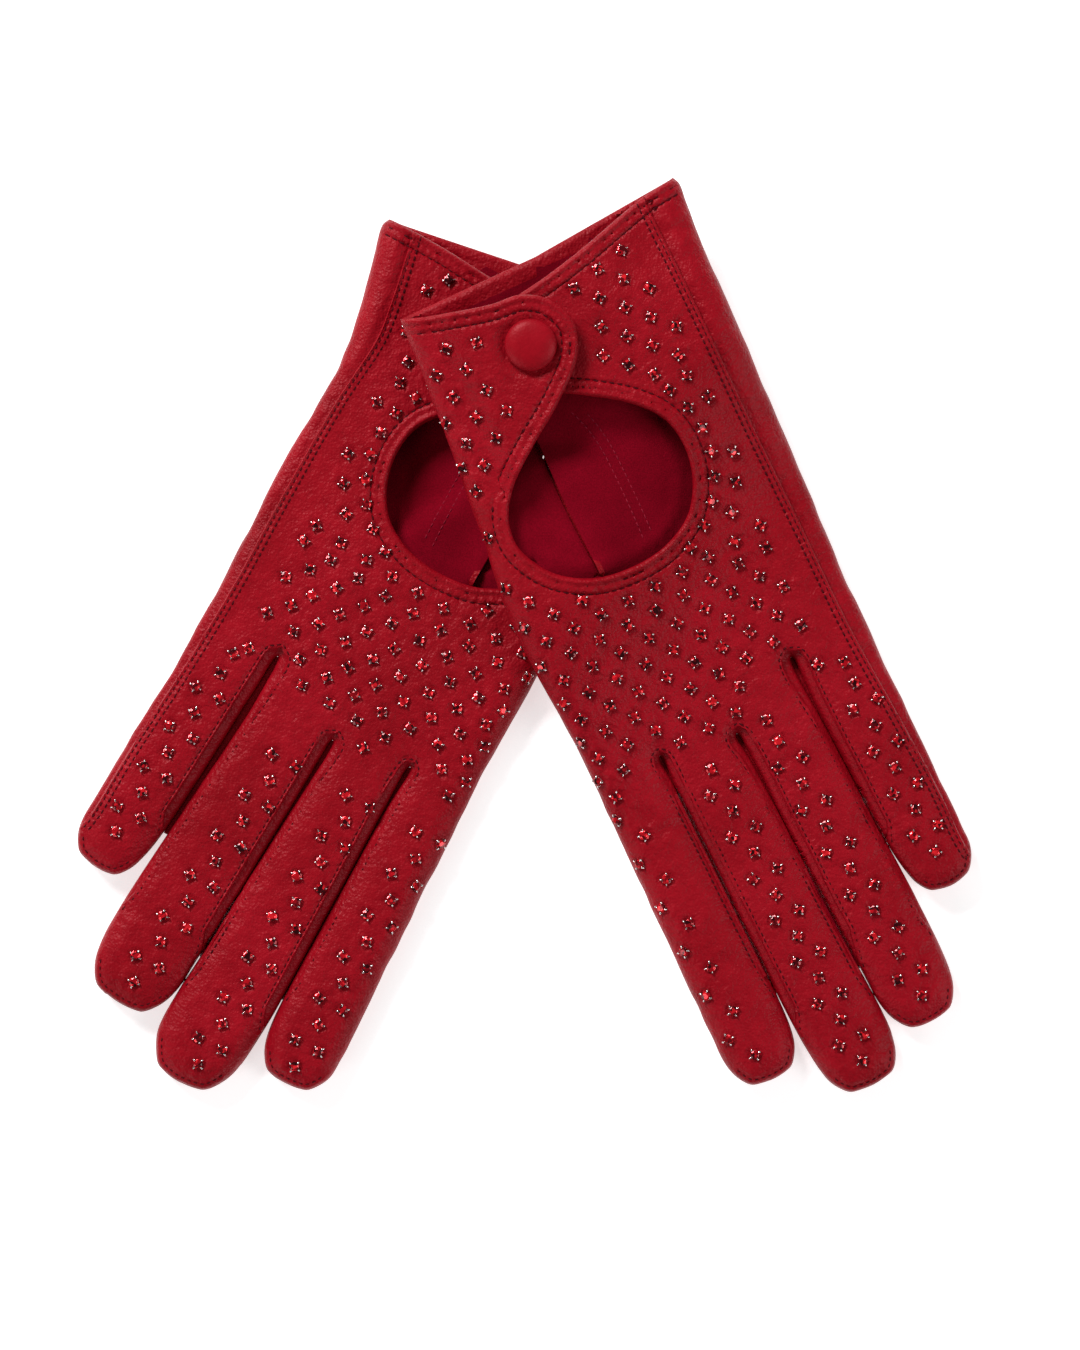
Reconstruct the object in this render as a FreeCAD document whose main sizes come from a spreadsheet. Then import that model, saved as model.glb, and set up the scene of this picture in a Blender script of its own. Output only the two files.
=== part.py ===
"""A pair of unlined leather driving gloves, crossed at the cuffs, backs up and fingers away.

Each glove is drawn in its own flat frame: u runs across the hand (0 at the little-finger
side, negative towards the index finger), v runs from the cuff to the fingertips, and z is
up out of the back of the hand. The left-hand glove is the mirror image, so its local X is
-u. The right-hand glove lies level; the left-hand glove lies across its cuff, tipped so
that its fingertips rest at the same level as the lower glove's palm.
"""
import FreeCAD, Part
import math
import os
from FreeCAD import Placement, Rotation, Vector

# Driving dimensions, in millimetres and degrees.
DIMENSIONS = [
    ("leather", 0.8, "thickness of the glove leather"),
    ("glove_depth", 8.6, "palm face to back face of the empty glove"),
    ("thumb_depth", 2.6, "thickness of the folded thumb"),
    ("thumb_recess", 2.9, "how far the palm stands up over the folded thumb"),
    ("thumb_gap", 1.0, "space between the two walls of the folded thumb"),
    ("thumb_reach", 41.0, "centre of the thumb's root to centre of its tip"),
    ("thumb_root_radius", 12.5, "half width of the thumb at its root"),
    ("thumb_tip_radius", 11.0, "half width of the thumb at its tip"),
    ("thumb_fold", 30.0, "angle of the folded thumb across the palm"),
    ("mouth_radius", 8.0, "opening from the palm into the thumb"),
    ("opening_half_width", 24.0, "back opening, across the hand"),
    ("opening_half_length", 21.9, "back opening, along the hand"),
    ("lining", 0.5, "thickness of the tab's facing"),
    ("tab_rise", 1.25, "how much higher the tab is at the snap than at its root"),
    ("tab_clearance", 0.25, "gap under the tab at its root"),
    ("tab_tip_radius", 12.0, "rounded end of the wrist tab"),
    ("snap_reach", 20.8, "tab root to snap centre"),
    ("cap_radius", 6.4, "leather-covered snap cap"),
    ("cap_rise", 2.0, "height of the domed cap"),
    ("cap_cover", 0.7, "leather over the cap"),
    ("cap_metal", 0.4, "sheet metal of the snap"),
    ("barrel_radius", 1.2, "rivet barrels of the snap"),
    ("hole_radius", 1.3, "holes punched for the barrels"),
    ("socket_radius", 5.0, "outside of the snap socket"),
    ("socket_depth", 0.8, "height of the snap socket"),
    ("socket_bore", 2.3, "inside of the snap socket"),
    ("stud_radius", 1.9, "head of the snap stud"),
    ("stud_height", 1.2, "height of the snap stud"),
    ("flange_radius", 4.4, "flanges of the stud and its post"),
    ("flange_depth", 0.3, "thickness of those flanges"),
    ("patch_radius", 6.0, "reinforcing patch behind the stud"),
    ("patch_depth", 0.6, "thickness of that patch"),
    ("seat_radius", 1.45, "claw setting, outside"),
    ("seat_height", 0.9, "claw setting, height"),
    ("stone_radius", 1.15, "crystal, at its girdle"),
    ("stone_height", 1.2, "crystal, top above the leather"),
    ("pitch", 4.2, "tip of the upper glove, in degrees"),
    ("upper_heading", 204.2, "heading of the left-hand glove, in degrees"),
    ("lower_heading", 152.5, "heading of the right-hand glove, in degrees"),
    ("upper_x", 37.61, "corner of the left-hand cuff, X"),
    ("upper_y", 113.14, "corner of the left-hand cuff, Y"),
    ("lower_x", -35.39, "corner of the right-hand cuff, X"),
    ("lower_y", 103.39, "corner of the right-hand cuff, Y"),
]

# The two gloves are one pattern, worn and laid differently. A finger is a tapered tube:
# (root u, root v, root half width, tip u, tip v, tip half width).
LEFT = {
    "name": "left",
    "mirror": -1,
    "fingers": {
        "index": (-71.3, 128, 8.8, -69.6, 204.6, 9.3),
        "middle": (-52.5, 128, 9.6, -47.9, 215.3, 10.2),
        "ring": (-32.5, 125, 9.6, -27.9, 207.2, 9.7),
        "little": (-12.0, 122, 10.0, -9.5, 179.0, 8.8),
    },
    "crotches": [(-22.5, 119.2), (-43.0, 131.0), (-62.5, 128.3)],
    "outer_side": [(-0.3, -1.3), (-1.2, 60), (-2.4, 119)],
    "index_side": [(-79.7, 125), (-82.4, 82), (-78.6, 35), (-76.7, 3.7)],
    "back_cuff": [(-20, 3.3), (-40, 8.7), (-66, 9.5)],
    "crystal_lines": [
        ((-10.9, 131.2), (-9.7, 177.6), 8, 1),
        ((-34.0, 136.6), (-27.4, 209.0), 12, 1),
        ((-52.0, 136.2), (-47.6, 217.7), 14, 0),
    ],
    "zigzag": ((-76.2, 138.2), (-73.2, 205.4), 11),
    "rows": (5.3, 7.82),
    "strap_low": 9.0,
    "strap_lean": 0.0,
    "shift_u": 0.0,
    "shift_v": 0.0,
}
RIGHT = {
    "name": "right",
    "mirror": 1,
    "fingers": {
        "index": (-77.5, 120, 8.5, -77.8, 192.6, 9.7),
        "middle": (-58.8, 122, 9.3, -54.5, 202.8, 11.4),
        "ring": (-38.3, 117, 10.2, -32.0, 192.5, 11.3),
        "little": (-16.0, 112, 10.0, -11.5, 167.3, 9.0),
    },
    "crotches": [(-27.2, 108.3), (-48.8, 120.5), (-68.6, 117.5)],
    "outer_side": [(-0.3, -1.2), (-7.0, 40), (-6.5, 109)],
    "index_side": [(-85.6, 117), (-87.0, 71), (-83.0, 24), (-81.0, -7.5)],
    "back_cuff": [(-18, -0.6), (-36, 0.6), (-70.4, -1.5)],
    "crystal_lines": [
        ((-16.5, 118.5), (-11.7, 165.4), 8, 1),
        ((-39.7, 136.5), (-32.8, 196.5), 10, 2),
        ((-61.0, 136.9), (-56.4, 207.1), 12, 2),
        ((-80.7, 137.0), (-77.9, 196.6), 10, 2),
    ],
    "zigzag": None,
    "rows": (5.0, 8.05),
    "strap_low": 16.5,
    "strap_lean": 0.22,
    "shift_u": -4.4,
    "shift_v": -11.0,
}

# Places on the pattern, in the left-hand glove's u and v. The right-hand glove adds its shift.
OPENING = (-49.8, 60.0)
SNAP = (-50.2, 22.4)
TAB_ROOT_U = -71.0
TAB_ROOT_V = (5.8, 57.5)
STRAP_END_U = -62.0
THUMB_ROOT = (-62.0, 64.0)
RECESS = (50.0, 117.0)
LAYER_GAP = 0.05
GAPS = [("little", "ring"), ("ring", "middle"), ("middle", "index")]
FOLDS = ["index_side", "middle_tip", "ring_tip", "outer_side"]

doc = FreeCAD.newDocument("driving_gloves")
sheet = doc.addObject("Spreadsheet::Sheet", "Dims")
for row, (alias, value, note) in enumerate(DIMENSIONS, start=1):
    sheet.set(f"A{row}", note)
    sheet.set(f"B{row}", str(value))
    sheet.setAlias(f"B{row}", alias)
doc.recompute()

parts = []


def dim(alias):
    return float(sheet.get(alias))


# ---------------------------------------------------------------- outlines

def tangent_points(centre_a, radius_a, centre_b, radius_b, side):
    """Ends of the straight line that touches two circles on one side (side is 1 or -1)."""
    along = centre_b - centre_a
    distance = along.Length
    lean = math.asin((radius_a - radius_b) / distance)
    heading = math.atan2(along.y, along.x) + side * (math.pi / 2 - lean)
    out = Vector(math.cos(heading), math.sin(heading), 0)
    return centre_a + out * radius_a, centre_b + out * radius_b


def tapered_outline(centre_a, radius_a, centre_b, radius_b):
    """Closed outline around two circles of different size."""
    along = (centre_b - centre_a).normalize()
    a_left, b_left = tangent_points(centre_a, radius_a, centre_b, radius_b, 1)
    a_right, b_right = tangent_points(centre_a, radius_a, centre_b, radius_b, -1)
    return [
        Part.LineSegment(a_left, b_left),
        Part.Arc(b_left, centre_b + along * radius_b, b_right),
        Part.LineSegment(b_right, a_right),
        Part.Arc(a_right, centre_a - along * radius_a, a_left),
    ]


def polygon(points):
    return [Part.LineSegment(a, b) for a, b in zip(points, points[1:] + points[:1])]


def smooth(points):
    curve = Part.BSplineCurve()
    curve.interpolate(points)
    return curve


def glove_point(glove, place):
    """A place on the pattern, as a point in the glove's own frame."""
    return Vector(glove["mirror"] * place[0], place[1], 0)


def pattern_point(glove, place):
    """The same, for the places that the two gloves share."""
    return glove_point(glove, (place[0] + glove["shift_u"], place[1] + glove["shift_v"]))


# ---------------------------------------------------------------- document objects

def new_body(label, placement):
    body = doc.addObject("PartDesign::Body", label)
    body.Label = label
    body.Placement = placement
    parts.append(body)
    return body


def new_sketch(body, edges, height="0", plane="XY_Plane"):
    """A sketch on one of the body's own planes; height is an expression of the sheet."""
    sketch = body.newObject("Sketcher::SketchObject", body.Label + "_sketch")
    support = next(f for f in body.Origin.OriginFeatures if f.Role == plane)
    sketch.AttachmentSupport = [(support, "")]
    sketch.MapMode = "FlatFace"
    sketch.setExpression("AttachmentOffset.Base.z", height)
    for edge in edges:
        sketch.addGeometry(edge, False)
    return sketch


def pad(body, edges, length, height="0"):
    feature = body.newObject("PartDesign::Pad", body.Label + "_pad")
    feature.Profile = new_sketch(body, edges, height)
    feature.setExpression("Length", length)
    return feature


def pocket(body, edges, top, depth):
    """Cut downwards from the plane at height top; fails if nothing was cut."""
    doc.recompute()
    before = body.Shape.Volume
    feature = body.newObject("PartDesign::Pocket", body.Label + "_pocket")
    feature.Profile = new_sketch(body, edges, top)
    feature.setExpression("Length", depth)
    doc.recompute()
    if before - body.Shape.Volume < 0.01:
        raise RuntimeError(f"{body.Label}: {feature.Label} cut nothing")
    return feature


def revolve(body, edges):
    """Turn a profile in the body's XZ plane about its Z axis."""
    feature = body.newObject("PartDesign::Revolution", body.Label + "_revolution")
    sketch = new_sketch(body, edges, plane="XZ_Plane")
    feature.Profile = sketch
    feature.ReferenceAxis = (sketch, ["V_Axis"])
    feature.Angle = 360
    return feature


# ---------------------------------------------------------------- leather of one glove

def hand_outline(glove, inset=0.0, low=None, high=None):
    """The hand's outline, inset from its sides, kept between two values of v.

    Without high it runs up to the crotches of the fingers, and without low down to the cuff.
    """
    outer_curve = smooth([glove_point(glove, (u - inset, v)) for u, v in glove["outer_side"]])
    index_curve = smooth([glove_point(glove, (u + inset, v)) for u, v in glove["index_side"]])

    def cross(curve, level):
        ends = sorted([curve.StartPoint, curve.EndPoint], key=lambda p: p.y)
        if level <= ends[0].y:
            return Vector(ends[0].x, level, 0)
        line = Part.LineSegment(Vector(-200, level, 0), Vector(200, level, 0))
        found = curve.intersect(line)[0]
        return Vector(found.X, found.Y, 0)

    def side(curve, bottom, top):
        if low is None and high is None:
            return curve
        return smooth([cross(curve, bottom + (top - bottom) * step / 4) for step in range(5)])

    outer_top = glove["outer_side"][-1][1] if high is None else high
    index_top = glove["index_side"][0][1] if high is None else high
    up = side(outer_curve, low, outer_top)
    down = side(index_curve, index_top, low)
    across = [up.EndPoint, down.StartPoint]
    if high is None:
        crotches = [glove_point(glove, (u, v - inset)) for u, v in glove["crotches"]]
        across[1:1] = crotches
    top = [Part.LineSegment(a, b) for a, b in zip(across, across[1:])]
    return [up] + top + [down, Part.LineSegment(down.EndPoint, up.StartPoint)]


def finger_circles(glove, finger, inset=0.0):
    root_u, root_v, root_half, tip_u, tip_v, tip_half = glove["fingers"][finger]
    root = glove_point(glove, (root_u, root_v))
    tip = glove_point(glove, (tip_u, tip_v))
    return root, root_half - inset, tip, tip_half - inset


def prism(edges, low, high):
    """Solid between two heights over a closed outline."""
    wire = Part.Wire([edge.toShape() for edge in edges])
    face = Part.Face(wire)
    face.translate(Vector(0, 0, low))
    return face.extrude(Vector(0, 0, high - low))


def recess_band(glove):
    return RECESS[0] + glove["shift_v"], RECESS[1] + glove["shift_v"]


def across(low, high):
    """Outline right across the hand between two values of v."""
    reach = 120
    return polygon([Vector(-reach, low, 0), Vector(reach, low, 0),
                    Vector(reach, high, 0), Vector(-reach, high, 0)])


def make_palm(glove, place):
    """Palm panel: flat at the cuff and the fingers, raised over the folded thumb."""
    body = new_body(glove["name"] + "_palm", place)
    recess_low, recess_high = recess_band(glove)
    wall = dim("leather")
    raised = "Dims.thumb_recess + Dims.leather"
    pad(body, hand_outline(glove), raised)
    pocket(body, across(-60, recess_low - wall), raised, "Dims.thumb_recess")
    pocket(body, across(recess_high + wall, 160), raised, "Dims.thumb_recess")
    for finger in glove["fingers"]:
        pad(body, tapered_outline(*finger_circles(glove, finger)), "Dims.leather")
    pocket(body, across(recess_low, recess_high), "Dims.thumb_recess", "Dims.thumb_recess + 1")
    root = pattern_point(glove, THUMB_ROOT)
    mouth = Part.Circle(root, Vector(0, 0, 1), dim("mouth_radius"))
    pocket(body, [mouth], raised + " + 0.5", "Dims.leather + 1")


def make_back(glove, place):
    """Back panel, cut out for the opening, the neck under the tab, the cuff and the snap."""
    body = new_body(glove["name"] + "_back", place)
    underside = "Dims.glove_depth - Dims.leather"
    pad(body, hand_outline(glove), "Dims.leather", underside)
    for finger in glove["fingers"]:
        pad(body, tapered_outline(*finger_circles(glove, finger)), "Dims.leather", underside)
    skin = "Dims.leather + 0.05"
    centre = pattern_point(glove, OPENING)
    keyhole = Part.Ellipse(centre, dim("opening_half_width"), dim("opening_half_length"))
    pocket(body, [keyhole], "Dims.glove_depth", skin)
    neck = [(TAB_ROOT_U, -30), (STRAP_END_U, -30), (STRAP_END_U, OPENING[1]),
            (TAB_ROOT_U, OPENING[1])]
    pocket(body, polygon([pattern_point(glove, p) for p in neck]), "Dims.glove_depth", skin)
    corner = glove["outer_side"][0]
    end = glove["back_cuff"][-1]
    cuff = [(corner[0] + 3, corner[1] - 2), corner] + glove["back_cuff"] + [(end[0], -30)]
    pocket(body, polygon([glove_point(glove, p) for p in cuff]), "Dims.glove_depth", skin)
    snap = Part.Circle(pattern_point(glove, SNAP), Vector(0, 0, 1), dim("hole_radius"))
    pocket(body, [snap], "Dims.glove_depth", skin)


def side_ring(glove):
    """The leather that stands between palm and back, all round the hand and the fingers."""
    wall = dim("leather")
    low = wall
    high = dim("glove_depth") - wall
    outside = prism(hand_outline(glove), low, high)
    inside = prism(hand_outline(glove, wall), low, high)
    inside = inside.fuse(prism(hand_outline(glove, wall, -15, 60), low, high))
    for finger in glove["fingers"]:
        outside = outside.fuse(prism(tapered_outline(*finger_circles(glove, finger)), low, high))
        hollow = tapered_outline(*finger_circles(glove, finger, wall))
        inside = inside.fuse(prism(hollow, low, high))
    recess_low, recess_high = recess_band(glove)
    palm_step = prism(across(recess_low - wall, recess_high + wall), 0, dim("thumb_recess") + wall)
    return outside.cut(inside).cut(palm_step)


def gap_region(glove, outer, inner, crotch):
    """Everything between the middle lines of two fingers, down to below their crotch.

    outer is the finger nearer the little finger.
    """
    beyond = 0.3
    below = 4.0
    outer_u, outer_v, _, outer_tip_u, outer_tip_v, outer_half = glove["fingers"][outer]
    inner_u, inner_v, _, inner_tip_u, inner_tip_v, inner_half = glove["fingers"][inner]
    corners = [(outer_u, outer_v), (outer_tip_u, outer_tip_v),
               (outer_tip_u - outer_half - beyond, outer_tip_v),
               (inner_tip_u + inner_half + beyond, inner_tip_v),
               (inner_tip_u, inner_tip_v), (inner_u, inner_v),
               (crotch[0], crotch[1] - below)]
    edges = polygon([glove_point(glove, corner) for corner in corners])
    return prism(edges, 0, dim("glove_depth"))


def add_shape(label, shape, place):
    feature = doc.addObject("Part::Feature", label)
    feature.Label = label
    feature.Shape = shape
    feature.Placement = place
    parts.append(feature)


def make_sides(glove, place):
    """The forked fourchettes between the fingers, and the leather folded round everywhere else."""
    ring = side_ring(glove)
    for (outer, inner), crotch in zip(GAPS, glove["crotches"]):
        region = gap_region(glove, outer, inner, crotch)
        fork = ring.common(region)
        add_shape(f"{glove['name']}_{inner}_{outer}_fourchette", fork.Solids[0], place)
        if len(fork.Solids) != 1:
            raise RuntimeError(f"the {inner}-{outer} fourchette is in {len(fork.Solids)} pieces")
        ring = ring.cut(region)
    folds = sorted(ring.Solids, key=lambda solid: glove["mirror"] * solid.CenterOfMass.x)
    if len(folds) != len(FOLDS):
        raise RuntimeError(f"the side leather is in {len(folds)} pieces")
    for name, solid in zip(FOLDS, folds):
        add_shape(f"{glove['name']}_{name}", solid, place)


def make_thumb(glove, place):
    """The thumb, folded flat under the palm, open upwards into it."""
    body = new_body(glove["name"] + "_thumb", place)
    root = pattern_point(glove, THUMB_ROOT)
    fold = math.radians(dim("thumb_fold"))
    tip = root + Vector(glove["mirror"] * math.sin(fold), math.cos(fold), 0) * dim("thumb_reach")
    wall = dim("leather")
    pad(body, tapered_outline(root, dim("thumb_root_radius"), tip, dim("thumb_tip_radius")),
        "Dims.thumb_depth")
    hollow = tapered_outline(root, dim("thumb_root_radius") - wall,
                             tip, dim("thumb_tip_radius") - wall)
    pocket(body, hollow, "Dims.leather + Dims.thumb_gap", "Dims.thumb_gap")
    mouth = Part.Circle(root, Vector(0, 0, 1), dim("mouth_radius"))
    pocket(body, [mouth], "Dims.thumb_depth", "Dims.leather + 0.2")
    return body


# ---------------------------------------------------------------- wrist tab and snap

def tab_outline(glove, inset=0.0):
    """The tab: two straight edges running into a round end."""
    snap = pattern_point(glove, SNAP)
    low = pattern_point(glove, (TAB_ROOT_U, TAB_ROOT_V[0] + inset))
    high = pattern_point(glove, (TAB_ROOT_U, TAB_ROOT_V[1] - inset))
    radius = dim("tab_tip_radius") - inset
    end = snap + Vector(glove["mirror"] * radius, 0, 0)
    low_side = -glove["mirror"]
    _, low_touch = tangent_points(low, 0.0, snap, radius, low_side)
    _, high_touch = tangent_points(high, 0.0, snap, radius, -low_side)
    return [Part.LineSegment(low, low_touch), Part.Arc(low_touch, end, high_touch),
            Part.LineSegment(high_touch, high), Part.LineSegment(high, low)]


def tab_place(glove, place):
    """The tab's own frame: it rises from its root towards the snap."""
    hinge = pattern_point(glove, (TAB_ROOT_U, 0))
    hinge = hinge + Vector(0, 0, dim("glove_depth") + dim("tab_clearance"))
    rise = math.degrees(math.atan2(dim("tab_rise"), dim("snap_reach")))
    turn = Rotation(Vector(0, 1, 0), -rise * glove["mirror"])
    about_hinge = Placement(hinge, turn).multiply(Placement(Vector(-hinge.x, -hinge.y, 0), Rotation()))
    return place.multiply(about_hinge)


def make_tab(glove, place):
    """Leather tab with its facing, both punched for the snap."""
    hole = Part.Circle(pattern_point(glove, SNAP), Vector(0, 0, 1), dim("hole_radius"))
    facing = new_body(glove["name"] + "_tab_facing", place)
    pad(facing, tab_outline(glove, 0.6), "Dims.lining")
    pocket(facing, [hole], "Dims.lining", "Dims.lining + 0.1")
    leather = new_body(glove["name"] + "_tab", place)
    pad(leather, tab_outline(glove), "Dims.leather", "Dims.lining")
    pocket(leather, [hole], "Dims.lining + Dims.leather", "Dims.leather + 0.1")


def dome(radius, rise, skin, thickness):
    """Half profile of a domed sheet, skin below a dome of that radius and rise on z = 0.

    It has a small flat at its crown.
    """
    flat = radius * 0.12
    ball = (radius ** 2 + rise ** 2) / (2 * rise)
    drop = ball - rise

    def arc(size):
        top = math.sqrt(size ** 2 - flat ** 2) - drop
        rim = math.sqrt(size ** 2 - drop ** 2)
        middle = rim * 0.6
        on_arc = Vector(middle, math.sqrt(size ** 2 - middle ** 2) - drop, 0)
        return Part.Arc(Vector(flat, top, 0), on_arc, Vector(rim, 0, 0))

    outside = arc(ball - skin)
    inside = arc(ball - skin - thickness)
    crown = Vector(0, outside.StartPoint.y, 0)
    under = Vector(0, inside.StartPoint.y, 0)
    return [outside, Part.LineSegment(outside.EndPoint, inside.EndPoint), inside,
            Part.LineSegment(inside.StartPoint, under), Part.LineSegment(under, crown),
            Part.LineSegment(crown, outside.StartPoint)]


def ring_profile(inner, outer, low, high):
    return polygon([Vector(inner, low, 0), Vector(outer, low, 0),
                    Vector(outer, high, 0), Vector(inner, high, 0)])


def make_snap(glove, on_tab, on_glove):
    """Press stud: covered cap and socket on the tab, stud and post on the strap."""
    name = glove["name"]
    centre = pattern_point(glove, SNAP)
    at_snap = Placement(centre, Rotation())
    tab_top = dim("lining") + dim("leather")
    cap_place = on_tab.multiply(Placement(centre + Vector(0, 0, tab_top), Rotation()))

    cover = new_body(name + "_snap_cap_cover", cap_place)
    revolve(cover, dome(dim("cap_radius"), dim("cap_rise"), 0, dim("cap_cover")))

    shell = new_body(name + "_snap_cap", cap_place)
    skin = dim("cap_cover") + LAYER_GAP
    revolve(shell, dome(dim("cap_radius"), dim("cap_rise"), skin, dim("cap_metal")))
    barrel_top = dim("cap_rise") - skin - dim("cap_metal") * 0.7
    revolve(shell, ring_profile(0, dim("barrel_radius"), -tab_top, barrel_top))

    socket = new_body(name + "_snap_socket", on_tab.multiply(at_snap))
    revolve(socket, ring_profile(dim("socket_bore"), dim("socket_radius"), -dim("socket_depth"), -0.02))

    strap = on_glove.multiply(Placement(centre + Vector(0, 0, dim("glove_depth")), Rotation()))
    stud = new_body(name + "_snap_stud", strap)
    revolve(stud, ring_profile(0, dim("flange_radius"), 0, dim("flange_depth")))
    revolve(stud, ring_profile(0, dim("stud_radius"), 0, dim("stud_height")))

    patch_low = -dim("leather") - dim("patch_depth")
    patch = new_body(name + "_snap_patch", strap)
    revolve(patch, ring_profile(dim("hole_radius"), dim("patch_radius"), patch_low, -dim("leather")))
    post = new_body(name + "_snap_post", strap)
    revolve(post, ring_profile(0, dim("flange_radius"), patch_low - dim("flange_depth"), patch_low))
    revolve(post, ring_profile(0, dim("barrel_radius"), patch_low - 0.1, 0))


# ---------------------------------------------------------------- crystals

# Lattices: a place, and the two steps to its neighbours.
TAB_LATTICE = ((-69.2, 14.7), (-4.9, 5.0), (2.35, 6.65))
STRIP_LATTICE = ((-74.1, 19.7), (-4.9, 5.0), (2.35, 6.65))
STRIP_BAND = ((-80, -70.5), (14, 64))
STRIP_EDGE = (-77.5, 43, 0.06)
STRAP_LATTICE = ((-20.2, 10.3), (-7.3, 1.9), (-2.5, 6.6))
STRAP_BAND = (-36, 42)
STRAP_SEAM = (-19, 10, 0.15)
STRAP_LEAN_TO = 41
SNAP_CLEARANCE = 10.5
TAB_EDGE_CLEARANCE = 1.55
RIM_CLEARANCE = 6.0
# Arcs beside the opening: clearance from its rim, first angle, step between places, places used.
RIM_ARCS = [(6.0, -29.0, 12.6, range(8)), (11.4, -27.0, 12.8, (0, 1, 3, 4, 5))]
# Rows across the knuckles: even rows, then rows set half a pitch over.
ROWS = range(-3, 9)
ROW_START = 90.4
ROW_CURVE = 0.0011
FIRST_ROW = (7.5, 9)
ROW_FIRST_U = (-76.3, -79.8)
ROW_COLUMNS = (8, 9)
BACK_BAND = (-80, -14)
KNUCKLES = ((118, -30, -18), (124, -38, -18))
LAST_ROW = (130, -70)
CROTCHES = [(-22.4, 119.2), (-42.6, 131.0), (-62.3, 128.3)]
CROTCH_CLEARANCE = (3.2, 5.0)
PAIR_SPREAD = 3.3
ZIGZAG = 2.0


def lattice(origin, step_a, step_b, count):
    span = range(-count, count + 1)
    return [(origin[0] + a * step_a[0] + b * step_b[0], origin[1] + a * step_a[1] + b * step_b[1])
            for a in span for b in span]


def from_opening(place):
    """Distance past the rim of the back opening, in half widths."""
    wide = (place[0] - OPENING[0]) / (dim("opening_half_width") + RIM_CLEARANCE)
    long = (place[1] - OPENING[1]) / (dim("opening_half_length") + RIM_CLEARANCE)
    return math.hypot(wide, long)


def tab_sites():
    """Crystals on the tab: clear of its edges and of the snap."""
    found = []
    for u, v in lattice(*TAB_LATTICE, 5):
        clear_of_snap = math.hypot(u - SNAP[0], v - SNAP[1]) > SNAP_CLEARANCE
        below_top_edge = v > 13 + 0.1 * (u + 62)
        above_low_edge = v < 43 - 0.75 * (u + 65)
        on_tab = TAB_ROOT_U + TAB_EDGE_CLEARANCE < u < SNAP[0] and v < 48
        if on_tab and clear_of_snap and below_top_edge and above_low_edge:
            found.append((u, v))
    return found


def strap_sites(glove):
    """Crystals between the cuff, the side seam and the opening."""
    found = []
    low_u, high_v = STRAP_BAND
    seam_u, seam_v, lean = STRAP_SEAM
    for u, v in lattice(*STRAP_LATTICE, 9):
        inside_seam = u < seam_u + lean * (v - seam_v)
        if u > low_u and inside_seam and glove["strap_low"] < v < high_v and from_opening((u, v)) > 1:
            found.append((u + glove["strap_lean"] * max(0.0, STRAP_LEAN_TO - v), v))
    for clearance, first, step, places in RIM_ARCS:
        for place in places:
            angle = math.radians(first + step * place)
            found.append((OPENING[0] + (dim("opening_half_width") + clearance) * math.cos(angle),
                          OPENING[1] + (dim("opening_half_length") + clearance) * math.sin(angle)))
    return found


def on_knuckles(u, v):
    """Whether a place among the rows is left free for the fingers to part."""
    for start_v, low_u, high_u in KNUCKLES:
        if v > start_v and low_u < u < high_u:
            return False
    for crotch_u, crotch_v in CROTCHES:
        if abs(u - crotch_u) < CROTCH_CLEARANCE[0] and v > crotch_v - CROTCH_CLEARANCE[1]:
            return False
    return v < LAST_ROW[0] or u < LAST_ROW[1]


def row_sites(glove):
    """Crystals in rows across the back, as far as the roots of the fingers."""
    found = []
    row_pitch, column_pitch = glove["rows"]
    for row in ROWS:
        pitch, columns = FIRST_ROW if row == 0 else (column_pitch, ROW_COLUMNS[row % 2])
        for column in range(columns):
            u = ROW_FIRST_U[row % 2] + pitch * column
            if row > 1:
                u = max(u, STRIP_EDGE[0] - 1.0)
            v = ROW_START + row_pitch * row - ROW_CURVE * (u + 80) ** 2
            on_back = BACK_BAND[0] < u < BACK_BAND[1] and from_opening((u, v)) > 1
            beside_opening = row < 0 and u > OPENING[0]
            if on_back and not beside_opening and on_knuckles(u, v):
                found.append((u, v))
    return found


def strip_sites():
    """Crystals between the opening and the index side, beside the tab's root."""
    found = []
    (low_u, high_u), (low_v, high_v) = STRIP_BAND
    edge_u, edge_v, lean = STRIP_EDGE
    nearest_root = TAB_ROOT_U - dim("seat_radius") - 0.15
    for u, v in lattice(*STRIP_LATTICE, 8):
        edge = edge_u - lean * (v - edge_v)
        at_edge = u < edge
        wanted = v > 40 if at_edge else v < 52
        if low_u < u < high_u and low_v < v < high_v and wanted:
            found.append((min(max(u, edge), nearest_root), v))
    return found


def finger_sites(glove):
    """Crystals along the fingers: one, then two abreast, to the tip; or a zigzag."""
    found = []
    for first, last, steps, before in glove["crystal_lines"]:
        for step in range(-1 if before else 0, steps + 1):
            abreast = before if step < 0 else 1 + step % 2
            u = first[0] + (last[0] - first[0]) * step / steps
            v = first[1] + (last[1] - first[1]) * step / steps
            found += [(u, v)] if abreast == 1 else [(u - PAIR_SPREAD, v), (u + PAIR_SPREAD, v)]
    if glove["zigzag"]:
        first, last, steps = glove["zigzag"]
        for step in range(steps + 1):
            u = first[0] + (last[0] - first[0]) * step / steps
            v = first[1] + (last[1] - first[1]) * step / steps
            found.append((u + (ZIGZAG if step % 2 else -ZIGZAG), v))
    return found


def setting_shape():
    cup = Part.makeCylinder(dim("seat_radius"), dim("seat_height"))
    girdle = dim("stone_radius") + 0.03
    seat = Part.makeCone(0.4, girdle, dim("seat_height") - 0.15, Vector(0, 0, 0.15))
    return cup.cut(seat)


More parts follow.
